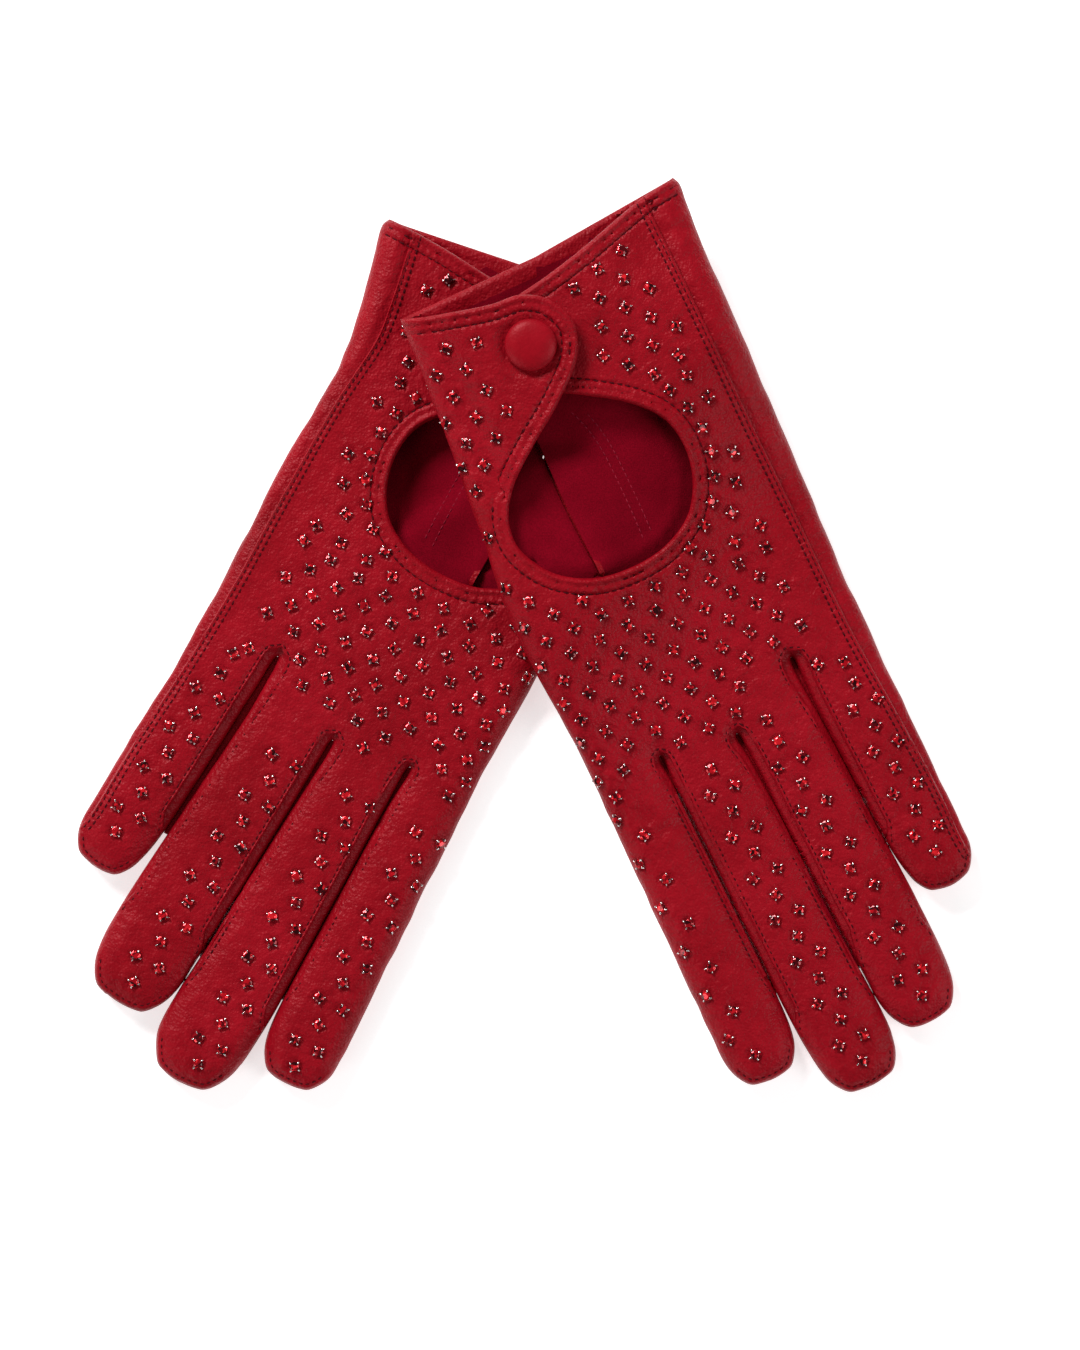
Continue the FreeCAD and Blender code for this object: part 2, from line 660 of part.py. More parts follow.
def stone_shape():
    girdle_height = dim("seat_height") - 0.02
    pavilion = Part.makeCone(0.4, dim("stone_radius"), girdle_height - 0.2, Vector(0, 0, 0.2))
    crown = Part.makeCone(dim("stone_radius"), dim("stone_radius") * 0.6,
                          dim("stone_height") - girdle_height, Vector(0, 0, girdle_height))
    return pavilion.fuse(crown).removeSplitter()


def make_group(label, shape, sites, place):
    """The same small solid at many sites, as one node."""
    copies = []
    for site in sites:
        copy = shape.copy()
        copy.translate(site)
        copies.append(copy)
    add_shape(label, Part.makeCompound(copies), place)


def make_crystals(glove, place, on_tab):
    name = glove["name"]
    back = Vector(0, 0, dim("glove_depth"))
    shared = strap_sites(glove) + row_sites(glove) + strip_sites()
    hand = [pattern_point(glove, site) + back for site in shared]
    hand += [glove_point(glove, site) + back for site in finger_sites(glove)]
    tab_top = Vector(0, 0, dim("lining") + dim("leather"))
    tab = [pattern_point(glove, site) + tab_top for site in tab_sites()]
    make_group(name + "_settings", setting_shape(), hand, place)
    make_group(name + "_crystals", stone_shape(), hand, place)
    make_group(name + "_tab_settings", setting_shape(), tab, on_tab)
    make_group(name + "_tab_crystals", stone_shape(), tab, on_tab)


# ---------------------------------------------------------------- the pair

def upper_place():
    """Left-hand glove: laid across the other, tipped about its fingertips."""
    _, _, _, _, tip_v, tip_half = LEFT["fingers"]["middle"]
    reach = tip_v + tip_half
    heading = Placement(Vector(dim("upper_x"), dim("upper_y"), 0),
                        Rotation(Vector(0, 0, 1), dim("upper_heading")))
    tipped = Placement(Vector(0, reach, 0), Rotation(Vector(1, 0, 0), -dim("pitch")))
    return heading.multiply(tipped).multiply(Placement(Vector(0, -reach, 0), Rotation()))


def lower_place():
    return Placement(Vector(dim("lower_x"), dim("lower_y"), 0),
                     Rotation(Vector(0, 0, 1), dim("lower_heading")))


def make_glove(glove, place):
    on_tab = tab_place(glove, place)
    make_palm(glove, place)
    make_back(glove, place)
    make_sides(glove, place)
    make_thumb(glove, place)
    make_tab(glove, on_tab)
    make_snap(glove, on_tab, place)
    make_crystals(glove, place, on_tab)


def check_document():
    doc.recompute()
    for item in doc.Objects:
        if "Invalid" in item.State or "Error" in item.State:
            raise RuntimeError(f"{item.Label} did not build: {item.State}")
    for part in parts:
        if part.Shape.isNull() or not part.Shape.isValid():
            raise RuntimeError(f"{part.Label} has no valid shape")


make_glove(RIGHT, lower_place())
make_glove(LEFT, upper_place())
check_document()

os.makedirs("parts", exist_ok=True)
whole = FreeCAD.BoundBox()
for part in parts:
    part.Shape.exportStep(f"parts/{part.Label}.step")
    whole.add(part.Shape.BoundBox)
print(f"{len(parts)} parts, box {whole.XMin:.2f} {whole.XMax:.2f} {whole.YMin:.2f} "
      f"{whole.YMax:.2f} {whole.ZMin:.2f} {whole.ZMax:.2f}")
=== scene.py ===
"""A pair of unlined red leather driving gloves, crossed at the cuffs and set with crystals.

Every piece of leather is drawn on the flat pattern of its glove: u runs across the hand (0 at
the little-finger side), v from the cuff to the fingertips and z up, in millimetres. place()
then lays the pattern where the CAD glove lies, and lets the upper glove sag where nothing
holds it up.
"""
import math

import bpy
import numpy as np
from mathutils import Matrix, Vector
from mathutils.geometry import delaunay_2d_cdt
from mathutils.kdtree import KDTree


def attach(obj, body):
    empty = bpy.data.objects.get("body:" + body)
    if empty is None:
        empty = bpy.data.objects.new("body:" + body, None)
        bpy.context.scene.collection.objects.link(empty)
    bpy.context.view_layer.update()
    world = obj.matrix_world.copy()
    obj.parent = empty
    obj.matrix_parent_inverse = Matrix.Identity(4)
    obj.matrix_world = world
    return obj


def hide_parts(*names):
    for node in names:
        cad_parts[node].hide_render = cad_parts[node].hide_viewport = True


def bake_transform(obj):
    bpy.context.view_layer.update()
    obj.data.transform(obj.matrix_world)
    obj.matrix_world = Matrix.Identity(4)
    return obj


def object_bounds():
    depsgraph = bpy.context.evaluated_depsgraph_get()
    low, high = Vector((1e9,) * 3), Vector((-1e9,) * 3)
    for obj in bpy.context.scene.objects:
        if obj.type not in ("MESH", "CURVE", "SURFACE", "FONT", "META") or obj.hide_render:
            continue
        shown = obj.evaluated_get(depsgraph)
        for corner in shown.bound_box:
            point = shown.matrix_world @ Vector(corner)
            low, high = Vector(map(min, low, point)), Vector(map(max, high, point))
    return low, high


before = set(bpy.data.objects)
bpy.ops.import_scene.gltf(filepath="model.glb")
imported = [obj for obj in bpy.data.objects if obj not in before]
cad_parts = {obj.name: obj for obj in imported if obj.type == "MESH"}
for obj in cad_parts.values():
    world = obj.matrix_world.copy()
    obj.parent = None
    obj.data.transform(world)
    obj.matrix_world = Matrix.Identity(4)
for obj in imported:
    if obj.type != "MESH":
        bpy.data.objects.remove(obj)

cad_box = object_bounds()

# ---------------------------------------------------------------- sizes, in millimetres

LEATHER = 0.8            # thickness of the glove leather
DEPTH = 8.6              # palm face to back face
MIDDLE = 4.4             # height of the fold that runs round the glove's outline
ROUNDING = 6.2           # how far the fold's curve reaches over back and palm
PALM_RISE = 2.95         # palm raised over the folded thumb
THUMB_DEPTH = 2.6
THUMB_REACH = 41.0
THUMB_RADII = (12.5, 11.0)   # at its root and its tip
THUMB_FOLD = 30.0        # degrees across the palm
THUMB_SWING = (THUMB_FOLD, 15, 0, -15)   # places along its swing, in degrees
FACING = 0.5             # the tab's lining
TAB_ROOT_U = -71.0
TAB_RISE = 1.25          # the tab's extra height at the snap
SNAP_REACH = 20.8
ROOT_MIDDLE_V = 31.0     # middle of the tab's root, and how far the bend there reaches
ROOT_BEND = 5.0
FOLD_LEVEL = 3.1         # the fourchettes' folded edges, between the fingers
FOLD_HALF = 0.6
FOLD_TUCK = 0.5
CAP_RADIUS = 6.4
CAP_RISE = 2.6
CAP_RIM = 0.36           # height where the cap's dome starts
HEM_ROWS = (1.95, 3.95)  # stitch rows of the hems, from the edge
HEM_WIDTH = 4.6          # how far the grain side is turned in
HEM_TURN = 0.75          # radius of the hem's rolled edge
HEM_DEPTH = (3.9, 0.7)   # where the doubled leather ends, and how softly
HEM_PITCH = 2.0          # from stitch to stitch
HEM_STITCH = (1.4, 0.23)     # a stitch's length and thread radius
TIP_SEAM = 1.6           # seam round a fingertip, from its edge
SEAM_PITCH = 1.7
SEAM_STITCH = (1.2, 0.22)
SEAM_ROW = 0.95          # stitch row beside a seam
SIDE_ROW = 2.2           # second row, beside the side seam only
INSIDE_PITCH = 1.6
INSIDE_STITCH = (1.15, 0.16)
SETTING_SINK = 0.32      # how deep the claw settings sit in the leather
SETTING_TILT = 3.0       # degrees
LINE_STEP = 0.5          # spacing of the places on a drawn line
GRID = 0.85              # mesh spacing on the back
PALM_GRID = 1.7
SEAM_STEP = 0.62         # half the step where one leather lies over another

OPENING = (-49.8, 60.0)
OPENING_HALF = (24.0, 21.9)
SNAP = (-50.2, 22.4)
THUMB_ROOT = (-62.0, 64.0)

# Each glove's own measures. mirror, heading, pitch, corner and reach lay its pattern in the row
# frame. A finger is its root's u, v and half width, then its tip's. crystal_lines are first place,
# last place, steps and how many crystals come before the line; zigzag is the same without the
# last. rows are the pitches of the crystal rows: from row to row, and along a row.
LEFT = {
    "name": "left", "mirror": -1, "heading": 204.2, "pitch": 4.2, "corner": (37.61, 113.14),
    "reach": 225.5, "shift": (0.0, 0.0), "seed": 3,
    "fingers": {
        "little": (-12.0, 122, 10.0, -9.5, 179.0, 8.8),
        "ring": (-32.5, 125, 9.6, -27.9, 207.2, 9.7),
        "middle": (-52.5, 128, 9.6, -47.9, 215.3, 10.2),
        "index": (-71.3, 128, 8.8, -69.6, 204.6, 9.3),
    },
    "crotches": [(-22.4, 119.2), (-42.6, 131.0), (-62.3, 128.3)],
    "outer_side": [(-1.3, -0.9), (-0.4, 1.0), (-1.0, 12), (-1.2, 50), (-2.0, 105)],
    "index_side": [(-80.2, 118), (-82.5, 85), (-80.0, 57), (-78.3, 32), (-76.7, 3.7)],
    "back_cuff": [(-1.3, -0.9), (-10, 0.4), (-20, 3.3), (-30, 6.3), (-40, 8.7), (-50, 10.6)],
    "crystal_lines": [
        ((-10.9, 131.2), (-9.7, 177.6), 8, 1),
        ((-34.0, 136.6), (-27.4, 209.0), 12, 1),
        ((-52.0, 136.2), (-47.6, 217.7), 14, 0),
    ],
    "zigzag": ((-76.2, 138.2), (-73.2, 205.4), 11),
    "rows": (5.3, 7.82),
    "strap_low": 9.0,
    "strap_lean": 0.0,
    "outer_seam": [(-9.9, 0.3), (-9.2, 23), (-8.3, 57), (-7.0, 90), (-6.3, 117), (-4.4, 140),
                   (-2.6, 163), (-2.3, 178)],
}
RIGHT = {
    "name": "right", "mirror": 1, "heading": 152.5, "pitch": 0.0, "corner": (-35.39, 103.39),
    "reach": 214.2, "shift": (-4.4, -11.0), "seed": 8,
    "fingers": {
        "little": (-16.0, 112, 10.0, -11.5, 167.3, 9.0),
        "ring": (-38.3, 117, 10.2, -32.0, 192.5, 11.3),
        "middle": (-58.8, 122, 9.3, -54.5, 202.8, 11.4),
        "index": (-77.5, 120, 8.5, -77.8, 192.6, 9.7),
    },
    "crotches": [(-27.0, 108.3), (-48.8, 120.5), (-68.9, 117.5)],
    "outer_side": [(-1.4, -1.0), (-0.6, 1.0), (-3.3, 13), (-7.0, 36), (-5.9, 65), (-6.3, 102)],
    "index_side": [(-85.8, 112), (-87.0, 72), (-85.6, 48), (-83.0, 24), (-81.0, -7.5)],
    "back_cuff": [(-1.4, -1.0), (-10, -0.9), (-18, -0.6), (-36, 0.6), (-54.4, -0.4)],
    "crystal_lines": [
        ((-16.5, 118.5), (-11.7, 165.4), 8, 1),
        ((-39.7, 136.5), (-32.8, 196.5), 10, 2),
        ((-61.0, 136.9), (-56.4, 207.1), 12, 2),
        ((-80.7, 137.0), (-77.9, 196.6), 10, 2),
    ],
    "zigzag": None,
    "rows": (5.0, 8.05),
    "strap_low": 16.5,
    "strap_lean": 0.22,
    "outer_seam": [(-8.4, -1.0), (-11.7, 18), (-12.6, 27), (-10.8, 45), (-9.7, 73), (-9.2, 98),
                   (-7.5, 123), (-5.0, 148), (-4.0, 164)],
}
FINGERS = ("little", "ring", "middle", "index")
GAPS = ("ring_little", "middle_ring", "index_middle")
# How much fuller each finger is than its plain tube, on its outer and its inner side.
SWELL = {"little": (0, 0.75), "ring": (0.65, 0.45), "middle": (0.30, 0.75), "index": (0.55, 0)}
# Shared by both gloves, in the left-hand glove's u and v; the right-hand glove adds its shift.
STRAP_END = [(-57.5, 13.5), (-61.2, 20), (-61.2, 26.5), (-56.5, 32.5)]
RIM_LOW = [(-47.5, 36.7), (-41.7, 40), (-33.3, 45.8), (-27.6, 52.5), (-25.8, 60), (-27, 68.3),
           (-31.7, 76.2), (-40, 81.0), (-50, 82.4), (-60, 80.8), (-68.5, 75.2), (-73.2, 66.5),
           (-72.8, 60.2), (TAB_ROOT_U, 56.0)]
STRIP_CUFF = [(TAB_ROOT_U, 5.6), (-76.7, 3.7)]
TAB_EDGE = [(TAB_ROOT_U, 5.6), (-66.7, 6.7), (-55, 9.4), (-47.5, 10.2), (-41.6, 14.0),
            (-38.3, 21.7), (-40.8, 29.4), (-50, 38.3), (-60, 45.5), (-67.2, 51.4),
            (TAB_ROOT_U, 56.0)]
INSIDE_ROWS = [[(-49.5, 38), (-46.6, 44), (-44.6, 52), (-44.0, 66), (-44.2, 84)],
               [(-47.2, 37), (-44.2, 43.5), (-42.2, 51.5), (-41.5, 66), (-41.7, 84)],
               [(-71.6, 58), (-71.4, 67), (-69.5, 76)]]
# A fingertip: angle round its end and reach, in tip half widths; the seams end in two corners.
TIP_SHAPE = [(4, 0.985), (30, 0.985), (54, 1.03), (66, 1.0), (90, 0.965), (114, 1.0), (126, 1.03),
             (150, 0.985), (176, 0.985)]
SLIT_HALF = 0.3          # the slit in the palm, seen through the opening
SLIT_STEP = 1.7
SLIT = [(-58.2, 40), (-58.6, 60), (-57.6, 82)]

# ---------------------------------------------------------------- small mathematics

NOISE_TURN = (127.1, 311.7, 74.7)
NOISE_SPREAD = 43758.5453
FAR = 1e9


def smoothstep(value):
    value = np.clip(value, 0.0, 1.0)
    return value * value * (3 - 2 * value)


def bump(distance, centre, width):
    return np.exp(-((distance - centre) / width) ** 2)


def rounded(distance, radius):
    """A quarter circle: 0 at the edge, 1 from radius on."""
    return np.sqrt(np.clip(1 - (1 - np.clip(distance / radius, 0, 1)) ** 2, 0, 1))


def lattice_noise(points, scale, seed):
    """Smooth noise between -1 and 1 over the plane, with features about scale wide."""
    grid = points / scale + seed * 7.31
    cell = np.floor(grid)
    part = grid - cell
    part = part * part * (3 - 2 * part)

    def corner(du, dv):
        turn_u, turn_v, turn_seed = NOISE_TURN
        value = np.sin((cell[:, 0] + du) * turn_u + (cell[:, 1] + dv) * turn_v + seed * turn_seed)
        value = value * NOISE_SPREAD
        return (value - np.floor(value)) * 2 - 1

    low = corner(0, 0) * (1 - part[:, 0]) + corner(1, 0) * part[:, 0]
    high = corner(0, 1) * (1 - part[:, 0]) + corner(1, 1) * part[:, 0]
    return low * (1 - part[:, 1]) + high * part[:, 1]


def spline(points, step):
    """Centripetal Catmull-Rom curve through the points, cut into equal steps."""
    points = np.asarray(points, float)
    before = 2 * points[0] - points[1]
    after = 2 * points[-1] - points[-2]
    padded = np.vstack([before, points, after])
    pieces = []
    for index in range(1, len(padded) - 2):
        p0, p1, p2, p3 = padded[index - 1:index + 3]
        knots = np.cumsum([0] + [max(np.linalg.norm(b - a), 1e-6) ** 0.5
                                 for a, b in ((p0, p1), (p1, p2), (p2, p3))])
        t = np.linspace(knots[1], knots[2], 24, endpoint=False)[:, None]
        a1 = ((knots[1] - t) * p0 + t * p1) / knots[1]
        a2 = ((knots[2] - t) * p1 + (t - knots[1]) * p2) / (knots[2] - knots[1])
        a3 = ((knots[3] - t) * p2 + (t - knots[2]) * p3) / (knots[3] - knots[2])
        b1 = ((knots[2] - t) * a1 + t * a2) / knots[2]
        b2 = ((knots[3] - t) * a2 + (t - knots[1]) * a3) / (knots[3] - knots[1])
        pieces.append(((knots[2] - t) * b1 + (t - knots[1]) * b2) / (knots[2] - knots[1]))
    return resample(np.vstack(pieces + [points[-1:]]), step)


def arc_lengths(points):
    return np.concatenate([[0], np.cumsum(np.linalg.norm(np.diff(points, axis=0), axis=1))])


def resample(points, step):
    arc = arc_lengths(points)
    count = max(2, int(round(arc[-1] / step)) + 1)
    at = np.linspace(0, arc[-1], count)
    return np.stack([np.interp(at, arc, points[:, axis]) for axis in range(2)], axis=1)


class Path:
    """A line drawn on the pattern."""

    def __init__(self, points):
        self.points = np.asarray(points, float)
        self.arc = arc_lengths(self.points)
        self.length = self.arc[-1]
        self.tree = KDTree(len(self.points))
        for index, (u, v) in enumerate(self.points):
            self.tree.insert((u, v, 0), index)
        self.tree.balance()

    def nearest(self, places):
        """Distance and arc length of the nearest place on the line, for many places."""
        index = np.array([self.tree.find((u, v, 0))[1] for u, v in places])
        best = np.full(len(places), FAR)
        arc = np.zeros(len(places))
        for first in (index - 1, index):
            first = np.clip(first, 0, len(self.points) - 2)
            start = self.points[first]
            along = self.points[first + 1] - start
            size = np.maximum((along ** 2).sum(1), 1e-12)
            share = np.clip(((places - start) * along).sum(1) / size, 0, 1)
            distance = np.linalg.norm(places - start - share[:, None] * along, axis=1)
            closer = distance < best
            best[closer] = distance[closer]
            arc[closer] = (self.arc[first] + share * np.sqrt(size))[closer]
        return best, arc

    def distance(self, places):
        return self.nearest(places)[0]

    def at(self, arc):
        return np.stack([np.interp(arc, self.arc, self.points[:, axis]) for axis in range(2)], 1)

    def normals(self):
        """Unit normals to the left of the line, at its points."""
        along = np.gradient(self.points, axis=0)
        along = along / np.maximum(np.linalg.norm(along, axis=1, keepdims=True), 1e-9)
        return np.stack([-along[:, 1], along[:, 0]], axis=1)

    def offset(self, amount, keep=0.93):
        """The line moved to its left, without the places where it would fold over itself."""
        moved = self.points + self.normals() * np.asarray(amount).reshape(-1, 1)
        good = self.distance(moved) > np.abs(np.asarray(amount)).reshape(-1) * keep - 1e-6
        return moved[good]


def inside(places, loop):
    """Which places lie inside a closed outline."""
    result = np.zeros(len(places), bool)
    u, v = places[:, 0], places[:, 1]
    order = np.argsort(v)
    sorted_v = v[order]
    for (u0, v0), (u1, v1) in zip(loop, np.roll(loop, -1, axis=0)):
        if v0 == v1:
            continue
        first, last = np.searchsorted(sorted_v, [min(v0, v1), max(v0, v1)])
        rows = order[first:last]
        crossing = u0 + (v[rows] - v0) * (u1 - u0) / (v1 - v0)
        result[rows] ^= u[rows] < crossing
    return result


# ---------------------------------------------------------------- outlines of one glove


def shifted(glove, points):
    return np.asarray(points, float) + np.array(glove["shift"])


def finger_sides(finger, swell):
    """Outer side from root to tip, the tip, and the inner side from tip to root.

    swell is how much fuller the outer and the inner side are than the plain tube.
    """
    root_u, root_v, root_half, tip_u, tip_v, tip_half = finger
    root = np.array([root_u, root_v])
    tip = np.array([tip_u, tip_v])
    along = (tip - root) / np.linalg.norm(tip - root)
    out = np.array([along[1], -along[0]])
    outer, inner = [], []
    for share, fuller in ((0.12, 0.5), (0.5, 1.0), (0.88, 1.0)):
        centre = root + (tip - root) * share
        half = root_half + (tip_half - root_half) * share
        outer.append(centre + out * (half + swell[0] * fuller))
        inner.append(centre - out * (half + swell[1] * fuller))
    ball = []
    for angle, reach in TIP_SHAPE:
        turn = math.radians(angle)
        ball.append(tip + tip_half * reach * (math.cos(turn) * out + math.sin(turn) * along))
    return outer, ball, inner[::-1]


def silhouette(glove):
    """The outline from the little-finger corner of the cuff round to the index corner.

    Also gives the control places where each gap between two fingers starts and ends.
    """
    points = [np.array(p, float) for p in glove["outer_side"]]
    gaps = []
    for order, name in enumerate(FINGERS):
        outer, ball, inner = finger_sides(glove["fingers"][name], SWELL[name])
        points += outer + ball
        if name == FINGERS[-1]:
            points += inner[:2]
            break
        start = inner[0]
        points += inner
        u, v = glove["crotches"][order]
        points += [np.array(p) for p in ((u + 0.42, v + 0.8), (u, v), (u - 0.42, v + 0.8))]
        after = FINGERS[order + 1]
        gaps.append((start, finger_sides(glove["fingers"][after], SWELL[after])[0][-1]))
    points += [np.array(p, float) for p in glove["index_side"]]
    line = spline(points, LINE_STEP)
    normals = Path(line).normals()
    seed = glove["seed"]
    wave = 0.16 * lattice_noise(line, 4.5, seed) + 0.22 * lattice_noise(line, 11, seed + 1)
    between = np.min([np.linalg.norm(line - crotch, axis=1) for crotch in glove["crotches"]], axis=0)
    wave *= smoothstep((between - 2) / 4) * np.where(facing_gap(glove, line), 0.3, 1.0)
    path = Path(line + normals * wave[:, None])
    spans = []
    for (start, end), crotch in zip(gaps, glove["crotches"]):
        turn = int(np.argmin(np.linalg.norm(path.points - np.array(crotch), axis=1)))
        first = int(np.argmin(np.linalg.norm(path.points[:turn] - start, axis=1)))
        last = turn + int(np.argmin(np.linalg.norm(path.points[turn:] - end, axis=1)))
        spans.append((first, last))
    return path, spans


def facing_gap(glove, line):
    """Which places of the outline face another finger closely."""
    low, high = min(v for _, v in glove["crotches"]) + 2, glove["fingers"]["middle"][4]
    inner = (line[:, 0] < line[:, 0].max() - 12) & (line[:, 0] > line[:, 0].min() + 12)
    return inner & (line[:, 1] > low) & (line[:, 1] < high)


def seam_width(count, outer_width, inner_width):
    """How wide the fourchette shows along a gap: nothing at the tips, and a change of side."""
    share = np.linspace(0, 1, count)
    ends = smoothstep(share / 0.05) * smoothstep((1 - share) / 0.05)
    side = outer_width + (inner_width - outer_width) * smoothstep((share - 0.42) / 0.16)
    return side * ends


# ---------------------------------------------------------------- the glove's own surface


def dimple(reach, lobes):
    """Leather round one claw setting: sunk under it, with a puckered ring about it."""
    painted_crease_shade = -0.42 * np.exp(-(reach / 2.0) ** 2)
    return painted_crease_shade + 0.16 * bump(reach, 2.5, 0.75) + 0.075 * lobes * bump(reach, 2.7, 0.9)


def hem_depth(distance):
    """Leather beside a hem: doubled where it is turned in, thin at its very edge."""
    end, softness = HEM_DEPTH
    return 1 - smoothstep((distance - end) / softness), 1 - 0.9 * (1 - rounded(distance, HEM_TURN))


class Pattern:
    """Lines, regions and heights of one glove."""

    def __init__(self, glove):
        self.glove = glove
        self.shift = np.array(glove["shift"])
        self.edge, spans = silhouette(glove)
        self.forks = []
        for first, last in spans:
            rim = self.edge.points[first:last + 1]
            normals = self.edge.normals()[first:last + 1]
            upper = rim + normals * seam_width(len(rim), 2.3, 1.2)[:, None]
            lower = rim + normals * seam_width(len(rim), 1.6, 1.6)[:, None]
            self.forks.append((rim, tidy_line(upper, rim), tidy_line(lower, rim)))
        seam = spline(glove["outer_seam"], LINE_STEP)
        end = self.edge.points[self.edge_index(seam[-1] + np.array([2.0, 5.0]))]
        self.outer_seam = Path(spline(np.vstack([glove["outer_seam"], end]), LINE_STEP))
        rim = np.vstack([glove["back_cuff"], shifted(glove, STRAP_END), shifted(glove, RIM_LOW)])
        corner = self.edge.points[-1]
        strip_cuff = np.array([shifted(glove, STRIP_CUFF[:1])[0], corner])
        self.hem = Path(spline(rim, LINE_STEP))
        self.strip_hem = Path(resample(strip_cuff, LINE_STEP))
        self.palm_cuff = Path(resample(np.array([corner, shifted(glove, [(-40, 3.2)])[0],
                                                 glove["outer_side"][0]]), 0.7))
        self.seams = [Path(upper) for _, upper, _ in self.forks] + [self.outer_seam]
        self.sites = [np.array(site) for site in hand_sites(glove)]
        self.site_tree = Path(np.array(self.sites))
        self.slit = Path(spline(shifted(glove, SLIT), LINE_STEP))

    def edge_index(self, place):
        return int(np.argmin(np.linalg.norm(self.edge.points - place, axis=1)))

    # -- heights

    def beyond_tip(self, finger, places):
        """1 at the very end of a finger, 0 along its length."""
        root_u, root_v, _, tip_u, tip_v, tip_half = finger
        along = np.array([tip_u - root_u, tip_v - root_v])
        along = along / np.linalg.norm(along)
        offset = places - np.array([tip_u, tip_v])
        near = np.linalg.norm(offset, axis=1) < tip_half * 1.2
        return near * smoothstep((offset @ along) / 3.0)

    def tip_line(self, finger):
        """The seam round a fingertip, just inside its edge."""
        ring = self.edge.points + self.edge.normals() * TIP_SEAM
        return ring[self.beyond_tip(finger, ring) > 0.9]

    def over_thumb(self, places):
        """Height of the palm's underside: raised wherever the thumb can swing."""
        root = np.array(THUMB_ROOT) + self.shift
        nearest = np.full(len(places), FAR)
        for fold in THUMB_SWING:
            turn = math.radians(fold)
            along = np.array([math.sin(turn), math.cos(turn)])
            reach = np.clip((places - root) @ along, 0, THUMB_REACH)
            nearest = np.minimum(nearest, np.linalg.norm(places - root - reach[:, None] * along, axis=1))
        return PALM_RISE * (1 - smoothstep((nearest - THUMB_RADII[0]) / 7.0))

    def crease(self, places):
        """Soft leather folds, about a tenth of a millimetre high."""
        seed = self.glove["seed"]
        bend = np.stack([lattice_noise(places, 9, seed + 1), lattice_noise(places, 9, seed + 2)], 1)
        warped = places + bend * 2.2
        ridge = 1 - np.abs(lattice_noise(warped, 5.2, seed + 3)) * 2
        fine = 1 - np.abs(lattice_noise(warped * np.array([1.0, 1.35]), 2.4, seed + 4)) * 2
        where = 0.35 + 0.65 * smoothstep(lattice_noise(places, 21, seed + 5) * 1.2 + 0.55)
        return (ridge * 0.17 + fine * 0.10) * where

    def undulation(self, places):
        seed = self.glove["seed"]
        return 0.42 * lattice_noise(places, 26, seed + 6) + 0.22 * lattice_noise(places, 12, seed + 7)

    def hem_shape(self, distance, arc):
        """Turned and twice-stitched edge: a smooth roll, two sunk rows, a puckered band."""
        edge_round = -0.72 * (1 - rounded(distance, HEM_TURN))
        beat = np.cos(arc * 2 * math.pi / HEM_PITCH)
        roll = 0.55 * bump(distance, 0.95, 0.68)
        grooves = sum(-(0.42 - 0.14 * beat) * bump(distance, row, 0.30) for row in HEM_ROWS)
        band = (0.24 - 0.17 * beat) * bump(distance, 2.95, 0.58)
        beyond = -0.12 * beat * bump(distance, 4.9, 0.7)
        return edge_round + (roll + grooves + band + beyond)

    def seam_shape(self, distance, arc, side):
        """side is 1 on the leather that lies over the other, and -1 on the one beneath."""
        beat = np.cos(arc * 2 * math.pi / SEAM_PITCH)
        step = side * SEAM_STEP * np.exp(-(distance / 1.7) ** 2)
        if side > 0:
            edge_round = -0.45 * (1 - rounded(distance, 0.4))
            groove = -(0.38 - 0.16 * beat) * bump(distance, SEAM_ROW, 0.30)
            pucker = -0.15 * beat * bump(distance, 2.0, 0.8)
            return step + edge_round + groove + pucker
        return step - 0.05 * beat * bump(distance, 0.7, 0.6)

    def dimples(self, places):
        """The leather pulled down round each claw setting."""
        tree = self.site_tree.tree
        found = [tree.find((u, v, 0)) for u, v in places]
        reach = np.array([f[2] for f in found])
        index = np.array([f[1] for f in found])
        offset = places - self.site_tree.points[index]
        angle = np.arctan2(offset[:, 1], offset[:, 0])
        lobes = np.cos(angle * (5 + index % 3) + index * 2.4) * 0.6 + np.cos(angle * 3 + index) * 0.4
        return dimple(reach, lobes)

    def back_height(self, places, side="back"):
        """Outer face of the upper leather; side says which piece it belongs to."""
        reach = self.edge.distance(places)
        rise = rounded(reach, ROUNDING)
        calm = smoothstep(reach / 3.0)
        height = MIDDLE + (DEPTH - MIDDLE) * rise
        height += calm * (self.undulation(places) + self.crease(places) - 0.15)
        hem, arc = self.hem.nearest(places)
        strip, strip_arc = self.strip_hem.nearest(places)
        height += self.hem_shape(hem, arc) * rise
        height += self.hem_shape(strip, strip_arc) * rise * (strip < hem)
        if side == "back":
            height += self.dimples(places) * calm
            for seam in self.seams:
                distance, arc = seam.nearest(places)
                height += self.seam_shape(distance, arc, 1) * smoothstep(reach / 0.8)
            for finger in self.glove["fingers"].values():
                tip = self.beyond_tip(finger, places)
                height += tip * (0.30 * bump(reach, 0.8, 0.4) - 0.34 * bump(reach, TIP_SEAM, 0.35))
        elif side == "strip":
            distance, arc = self.outer_seam.nearest(places)
            height += self.seam_shape(distance, arc, -1) * smoothstep(reach / 1.5)
            cross = lattice_noise(places * np.array([0.35, 1.0]), 2.6, self.glove["seed"] + 9)
            height += 0.16 * cross * calm
        else:
            distance, arc = self.seams[side].nearest(places)
            height += self.seam_shape(distance, arc, -1) * smoothstep(reach / 1.2)
        return height

